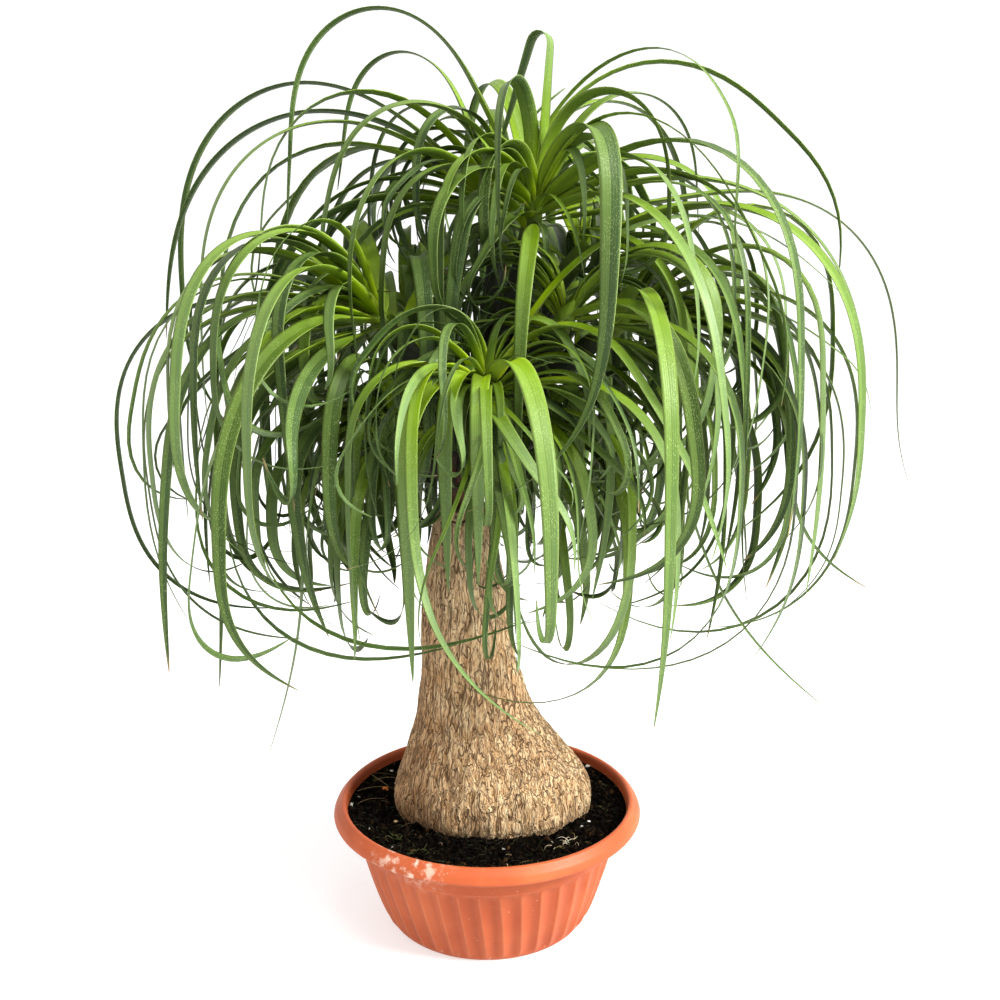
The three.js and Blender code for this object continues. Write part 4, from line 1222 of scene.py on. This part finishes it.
def rounded(corners, radius, steps=5):
    """Cuts each corner of a half section back by a radius and turns it with a few short steps."""
    points = [corners[0]]
    for before, corner, after in zip(corners, corners[1:], corners[2:]):
        before, corner, after = [np.array(p, float) for p in (before, corner, after)]
        cut = min(radius, 0.45 * np.linalg.norm(corner - before), 0.45 * np.linalg.norm(after - corner))
        start = corner + (before - corner) / np.linalg.norm(before - corner) * cut
        end = corner + (after - corner) / np.linalg.norm(after - corner) * cut
        for t in np.linspace(0, 1, steps):
            points.append((1 - t) ** 2 * start + 2 * (1 - t) * t * corner + t * t * end)
    return np.array([*points, corners[-1]])


def spun(section, turns, ends, flipped=False):
    """Turns a half section round the axis and closes its ends. It is flipped where the top comes first."""
    radii, levels = section[:, :1], section[:, 1:]
    shell = np.stack([radii * np.cos(turns), radii * np.sin(turns), levels + 0 * turns], -1)
    rows, columns = shell.shape[:2]
    middle, last = rows * columns, (rows - 1) * columns
    faces = grid_faces(rows, columns).tolist()
    for k in range(columns):
        n = (k + 1) % columns
        faces += [[n, k, middle], [middle + 1, last + k, last + n]]
    points = np.concatenate([shell.reshape(-1, 3), [[0, 0, z] for z in ends]])
    return points, [face[::-1] for face in faces] if flipped else faces


wall_rows = np.linspace(1.5, FLUTE_TOP - 0.5, 30)
outer = [(BASE_RADIUS, 0)] + [(body_radius(z), z) for z in wall_rows]
lip = rounded([
    (BODY_RADIUS, FLUTE_TOP - 0.2), (BODY_RADIUS + 0.2, FLUTE_TOP), (BODY_RADIUS + 1.2, FLUTE_TOP + 1),
    (NECK_RADIUS, NECK_TOP), (141, 109.5), (LIP_RADIUS - 3.2, LIP_LOW), (LIP_RADIUS - 1, LIP_LOW),
    (LIP_RADIUS, LIP_LOW + 2.5), (LIP_RADIUS - 2.4, POT_HEIGHT - 6), (CREST_RADIUS + 3, POT_HEIGHT - 1.8),
    (CREST_RADIUS + 1.4, POT_HEIGHT), (CREST_RADIUS - 1.6, POT_HEIGHT), (CREST_RADIUS - 3.4, POT_HEIGHT - 3),
    (THROAT_RADIUS, THROAT_LOW), (NECK_INSIDE, NECK_TOP), (float(inner_radius(97.0)), 97),
], 1.8)
inner = [(float(inner_radius(z)), z) for z in np.linspace(FLUTE_TOP, 8, 12)]
body = np.concatenate([outer, lip, inner, [(FLOOR_RADIUS, WALL)]])
POT_COLUMNS = 12 * FLUTES
turns = 2 * math.pi * np.arange(POT_COLUMNS) / POT_COLUMNS
slanted = turns + FLUTE_TURN + FLUTE_SLANT * (1 - np.minimum(body[:, 1:], FLUTE_TOP) / FLUTE_TOP)
points, faces = spun(body, slanted, (0, WALL))
outside = np.concatenate([np.repeat(np.arange(len(body)) <= len(outer) + 1, POT_COLUMNS), [False, False]])
pot = mesh_piece("pot_bowl", points, (), faces, {"outside": outside})
work(pot, flutes)
finished(pot, "pot", "pot")

# %% [markdown]
# ## The soil
#
# Coarse peat fills the bowl round the trunk. It is nearly black, with browner and greener patches, and
# lumpy. It could be sculpted, but noise of two sizes lifts the bed by a rule, coarse for the lumps and
# fine for the crumbs.

# %% Peat finish and lumps
peat = Finish("peat", (0.02, 0.014, 0.01), Roughness=0.95, Specular_IOR_Level=0.02)
grit = peat.noise(260, 4, seed=3, roughness=0.7)
tint = peat.noise(60, 3, seed=6)
earth = peat.mix(peat.ramp(grit, 0.45, 0.8), (0.003, 0.0022, 0.0018), (0.02, 0.013, 0.008))
earth = peat.mix(peat.ramp(tint, 0.55, 0.75) * 0.5, earth, (0.02, 0.024, 0.008))
peat.feed("Base Color", earth)
peat.relief(grit, 0.003)

bed = GeometryNet("Lumpy bed", {"Lumps": 0.006, "Crumbs": 0.005})
place = bed.add("GeometryNodeInputPosition")
lumps = bed.add("ShaderNodeTexNoise", {"Vector": place, "Scale": 38.0, "Detail": 2.0})
crumbs = bed.add("ShaderNodeTexNoise", {"Vector": place, "Scale": 170.0, "Detail": 3.0})
rise = (lumps - 0.55) * bed.given["Lumps"] * 2 + (crumbs - 0.5) * bed.given["Crumbs"] * 2
offset = bed.point(0.0, 0.0, rise * bed.attribute("top"))
raised = bed.add("GeometryNodeSetPosition", {"Geometry": bed.given["Geometry"], "Offset": offset})
bed.done(raised, peat.material)
print("Bed net:", len(bed.tree.nodes), "nodes")

# %% [markdown]
# ## The soil's bed
#
# The bed is turned round the axis like the bowl. Its half section starts under the trunk, runs outwards
# over the top, which rises a little towards the bowl, and goes down inside the wall with a small gap. The
# attribute named top is one where the soil is open to the air, so that only this part is lumpy and gets
# crumbs.

# %% The soil's bed
SOIL_RIM = 110.8
SOIL_TOP = [(124, 108.5), (112, 106), (96, 104.5), (70, 104), (40, 104.5)]
BED_COLUMNS, BED_RINGS, BED_INNER, BED_MIDDLE, BED_LOW = 240, 70, 40, 105, 60
rim = THROAT_RADIUS - GAP
rings = np.array([(rim, SOIL_RIM), *SOIL_TOP][::-1])
radii = np.linspace(BED_INNER, rim, BED_RINGS)
over = np.stack([radii, np.interp(radii, rings[:, 0], rings[:, 1])], -1)
under = (float(inner_radius(BED_LOW)) - GAP, BED_LOW)
section = np.concatenate([over, [(rim, THROAT_LOW + GAP / 2), (NECK_INSIDE - GAP, NECK_TOP), under]])
turns = 2 * math.pi * np.arange(BED_COLUMNS) / BED_COLUMNS
points, faces = spun(section, turns, (BED_MIDDLE, BED_LOW), True)
on_top = np.arange(len(section)) < BED_RINGS
open_top = np.interp(section[:, 0], [0, rim - 3, rim - 0.5], [1, 1, 0]) * on_top
top = np.concatenate([np.repeat(open_top, BED_COLUMNS), [1, 0]])
soil = mesh_piece("soil_bed", points, (), faces, {"top": top})
work(soil, bed)
print("Soil bed:", len(soil.data.polygons), "faces")

# %% [markdown]
# ## Crumbs and fibres
#
# Loose crumbs of peat, a few white grains and bits of bark, and short bent fibres lie on the bed. They
# are many and alike, so a net strews one small shape over the bed's top with a fixed seed, turns and
# scales each one at random, and keeps a shade for its colour.


# %% Strewn bits
FLAT = (-0.5, -0.5, 0.0), (0.5, 0.5, 6.28)
LOOSE = (0.0, 0.0, 0.0), (6.28, 6.28, 6.28)


def strewn(name, shape, finish, turns):
    net = GeometryNet(name, {"Density": 10000.0, "Least": 0.001, "Most": 0.005, "Seed": 1})
    density, least, most, seed = [net.given[key] for key in ("Density", "Least", "Most", "Seed")]
    top = net.attribute("top") > 0.5
    sockets = {"Mesh": net.given["Geometry"], "Selection": top, "Density": density, "Seed": seed}
    spots = net.add("GeometryNodeDistributePointsOnFaces", sockets)
    shade = net.add("FunctionNodeRandomValue", {2: 0.0, 3: 1.0, 8: seed}, 1, data_type="FLOAT")
    spots = net.keep(spots, "shade", shade)
    turned = net.add("FunctionNodeRandomValue", {0: turns[0], 1: turns[1], 8: 5}, data_type="FLOAT_VECTOR")
    low = net.point(least, least * 0.7, least * 0.6)
    high = net.point(most, most * 0.8, most * 0.7)
    scale = net.add("FunctionNodeRandomValue", {0: low, 1: high, 8: 9}, data_type="FLOAT_VECTOR")
    sockets = {"Points": spots, "Instance": shape(net), "Rotation": turned, "Scale": scale}
    net.done(net.add("GeometryNodeInstanceOnPoints", sockets), finish.material)
    return net


def lump(net):
    return net.add("GeometryNodeMeshIcoSphere", {"Radius": 1.0, "Subdivisions": 1})


def thread(net):
    sockets = {"Resolution": 5, "Start": (-1, 0, 0), "Middle": (0, 0.5, 0.8), "End": (1, 0, 0)}
    line = net.add("GeometryNodeCurveQuadraticBezier", sockets)
    ring = net.add("GeometryNodeCurvePrimitiveCircle", {"Resolution": 3, "Radius": 0.05})
    return net.add("GeometryNodeCurveToMesh", {"Curve": line, "Profile Curve": ring, "Fill Caps": True})


crumb = Finish("crumb", (0.02, 0.014, 0.01), Roughness=0.95, Specular_IOR_Level=0.03)
crumb.feed("Base Color", crumb.bands(
    crumb.attribute("shade"),
    (0.0, (0.002, 0.0015, 0.0012)), (0.7, (0.009, 0.006, 0.004)), (0.94, (0.018, 0.011, 0.006)),
    (0.98, (0.06, 0.03, 0.012)), (0.995, (0.06, 0.03, 0.012)), (0.997, (0.6, 0.6, 0.56)),
))
fibre = Finish("fibre", (0.1, 0.1, 0.04), Roughness=0.8)
fibre.feed("Base Color", fibre.bands(
    fibre.attribute("shade"),
    (0.0, (0.006, 0.005, 0.003)), (0.5, (0.014, 0.018, 0.006)), (0.8, (0.045, 0.06, 0.018)),
    (0.93, (0.09, 0.11, 0.035)), (0.97, (0.26, 0.21, 0.11)),
))
BITS = [  # name, net, how many on a square metre, least and most size in metres
    ("soil_crumbs", strewn("Crumbs", lump, crumb, LOOSE), 60000.0, 0.0008, 0.0045),
    ("soil_fibres", strewn("Fibres", thread, fibre, FLAT), 16000.0, 0.002, 0.008),
]
for name, net, density, least, most in BITS:
    piece = bpy.data.objects.new(name, soil.data.copy())
    bpy.context.collection.objects.link(piece)
    work(piece, net, Density=density, Least=least, Most=most)
    finished(piece, "soil")
finished(soil, "soil", "soil")

# %% [markdown]
# ## Straw
#
# Long straws lie on the soil, most of them at the left, and there are five small tufts of grass, of which
# two are dry and pale. Each straw or blade is a bent line with a start, a middle and an end. The straws'
# are listed, the blades' are drawn from a seed, and all are round tubes like the shoots.

# %% Straw
STRAWS = [  # start, middle, end
    ((-131, 26, 111), (-114, 31, 116), (-94, 40, 108)), ((-127, 62, 111), (-110, 58, 118), (-94, 66, 108)),
    ((-128, 2, 109), (-118, 12, 113), (-100, 14, 108)), ((-124, 66, 112), (-112, 44, 116), (-96, 36, 108)),
    ((-120, 50, 109), (-104, 60, 114), (-86, 56, 108)), ((30, -108, 107), (42, -104, 110), (52, -110, 107)),
]
TUFTS = [(74, -66, 104), (66, -76, 104), (-112, 66, 107), (-90, -58, 105), (-60, -84, 105)]
PALE_TUFTS, TUFT_BLADES, TUFT_FOOT, TUFT_SPREAD, TUFT_HEIGHT, TUFT_BEND, TUFT_END = 2, 13, 9, 15, 7, 4, 3
STRAW_POINTS = 9
straw = Finish("straw", (0.34, 0.29, 0.16), Roughness=0.8, Specular_IOR_Level=0.1)
straw.feed("Base Color", straw.bands(
    straw.attribute("shade"),
    (0.0, (0.03, 0.04, 0.012)), (0.35, (0.09, 0.10, 0.035)), (0.5, (0.16, 0.10, 0.045)),
    (0.7, (0.30, 0.22, 0.11)), (1.0, (0.62, 0.58, 0.46)),
))
draws = Draws(LEAF_SEED)
bends = [np.array(row, float) for row in STRAWS]
shades = [draws.between(0.45, 0.75) for _ in STRAWS]
for number, tuft in enumerate(np.array(TUFTS, float)):
    for _ in range(TUFT_BLADES):
        start = tuft + way(draws.between(0, 360), 0) * draws.between(0, TUFT_FOOT)
        out = way(draws.between(0, 360), 0) * TUFT_SPREAD * draws.between(0.3, 1)
        middle = start + out * 0.5 + way(draws.between(0, 360), 0) * TUFT_BEND
        middle[2] += TUFT_HEIGHT * draws.between(0.3, 1)
        bends.append(np.stack([start, middle, start + out + np.array([0, 0, draws.between(0, TUFT_END)])]))
        shades.append(draws.between(0.6, 1) if number < PALE_TUFTS else draws.between(0, 0.4))
t = np.linspace(0, 1, STRAW_POINTS)[:, None]
at = [(1 - t) ** 2 * a + 2 * t * (1 - t) * b + t ** 2 * c for a, b, c in bends]
thick = np.interp(t[:, 0], [0, 0.7, 1], [0.36, 0.3, 0.1]) * MM
values = {"half": np.tile(thick, len(at)), "shade": np.repeat(shades, STRAW_POINTS)}
litter = mesh_piece("soil_straw", np.concatenate(at), chain_edges(len(at), STRAW_POINTS), (), values)
work(litter, round_tubes(straw), Sides=5)
finished(litter, "soil")

# %% [markdown]
# ## Grains
#
# A few white grains, two bits of bark and an orange chip differ in size and colour, so each is a point
# that carries both. A net puts a small ball on each point and flattens it a little.

# %% Grains
GRAINS = [  # place, size, shade
    ((105, 84, 110), 3.4, 0.1), ((-101, 77, 108), 2.6, 0.1), ((-104, 38, 107), 4.0, 0.9),
    ((-88, -30, 107), 2.2, 0.5), ((18, -112, 107), 2.4, 0.5), ((98, -30, 107), 1.8, 0.1),
]
chip = Finish("chip", (0.5, 0.45, 0.4), Roughness=0.7)
chip.feed("Base Color", chip.bands(
    chip.attribute("shade"), (0.0, (0.72, 0.70, 0.66)), (0.5, (0.36, 0.24, 0.12)), (0.9, (0.62, 0.2, 0.03)),
))
pebbles = GeometryNet("Pebbles", {"Subdivisions": 2})
spots = pebbles.add("GeometryNodeMeshToPoints", {"Mesh": pebbles.given["Geometry"]})
sockets = {"Radius": 1.0, "Subdivisions": pebbles.given["Subdivisions"]}
ball = pebbles.add("GeometryNodeMeshIcoSphere", sockets)
size = pebbles.attribute("size")
sockets = {"Points": spots, "Instance": ball, "Scale": pebbles.point(size, size * 0.8, size * 0.65)}
pebbles.done(pebbles.add("GeometryNodeInstanceOnPoints", sockets), chip.material)
values = {"size": [size * MM for _, size, _ in GRAINS], "shade": [shade for *_, shade in GRAINS]}
grains = mesh_piece("soil_grains", [place for place, *_ in GRAINS], (), (), values)
work(grains, pebbles)
finished(grains, "soil")

# %% [markdown]
# ## Floor and light
#
# A plain pale floor and soft light from above and both sides, like a bright room, show the form without
# hard shadows. The floor glows a little of itself, so that it stays white where the crown shades it.

# %% Floor and light
FLOOR_REACH, FLOOR_GREY, FLOOR_GLOW, ROOM_LIGHT, GAMMA = 60, 0.5, 0.56, 1.06, 0.86
floor_mesh = bpy.data.meshes.new("floor")
floor_corners = [(x * FLOOR_REACH, y * FLOOR_REACH, 0) for x, y in ((-1, -1), (1, -1), (1, 1), (-1, 1))]
floor_mesh.from_pydata(floor_corners, [], [(0, 1, 2, 3)])
floor = bpy.data.objects.new("floor", floor_mesh)
bpy.context.collection.objects.link(floor)
pale = Finish("pale floor", (0.95, 0.95, 0.95), Roughness=0.95, Base_Color=(*[FLOOR_GREY] * 3, 1),
              Emission_Color=(1, 1, 1, 1), Emission_Strength=FLOOR_GLOW)
floor_mesh.materials.append(pale.material)

world = bpy.data.worlds.new("room")
world.use_nodes = True
world.node_tree.nodes["Background"].inputs["Color"].default_value = (1, 1, 1, 1)
world.node_tree.nodes["Background"].inputs["Strength"].default_value = ROOM_LIGHT
bpy.context.scene.world = world
bpy.context.scene.view_settings.view_transform = "Standard"
bpy.context.scene.view_settings.gamma = GAMMA
LAMPS = [  # name, place, size, power in watts
    ("key", (1.9, -0.95, 1.7), 0.8, 108),
    ("fill", (-1.6, -1.2, 1.4), 1.6, 3),
    ("top", (0.3, -0.8, 2.4), 1.0, 34),
]
for name, place, size, power in LAMPS:
    lamp = bpy.data.objects.new(name, bpy.data.lights.new(name, "AREA"))
    lamp.data.shape = "DISK"
    lamp.data.size = size
    lamp.data.energy = power
    lamp.location = place
    aim = np.array([0, 0, 0.4]) - np.array(place)
    lamp.rotation_euler = Vector(aim).to_track_quat("-Z", "Y").to_euler()
    bpy.context.collection.objects.link(lamp)
print(len(LAMPS), "lamps")
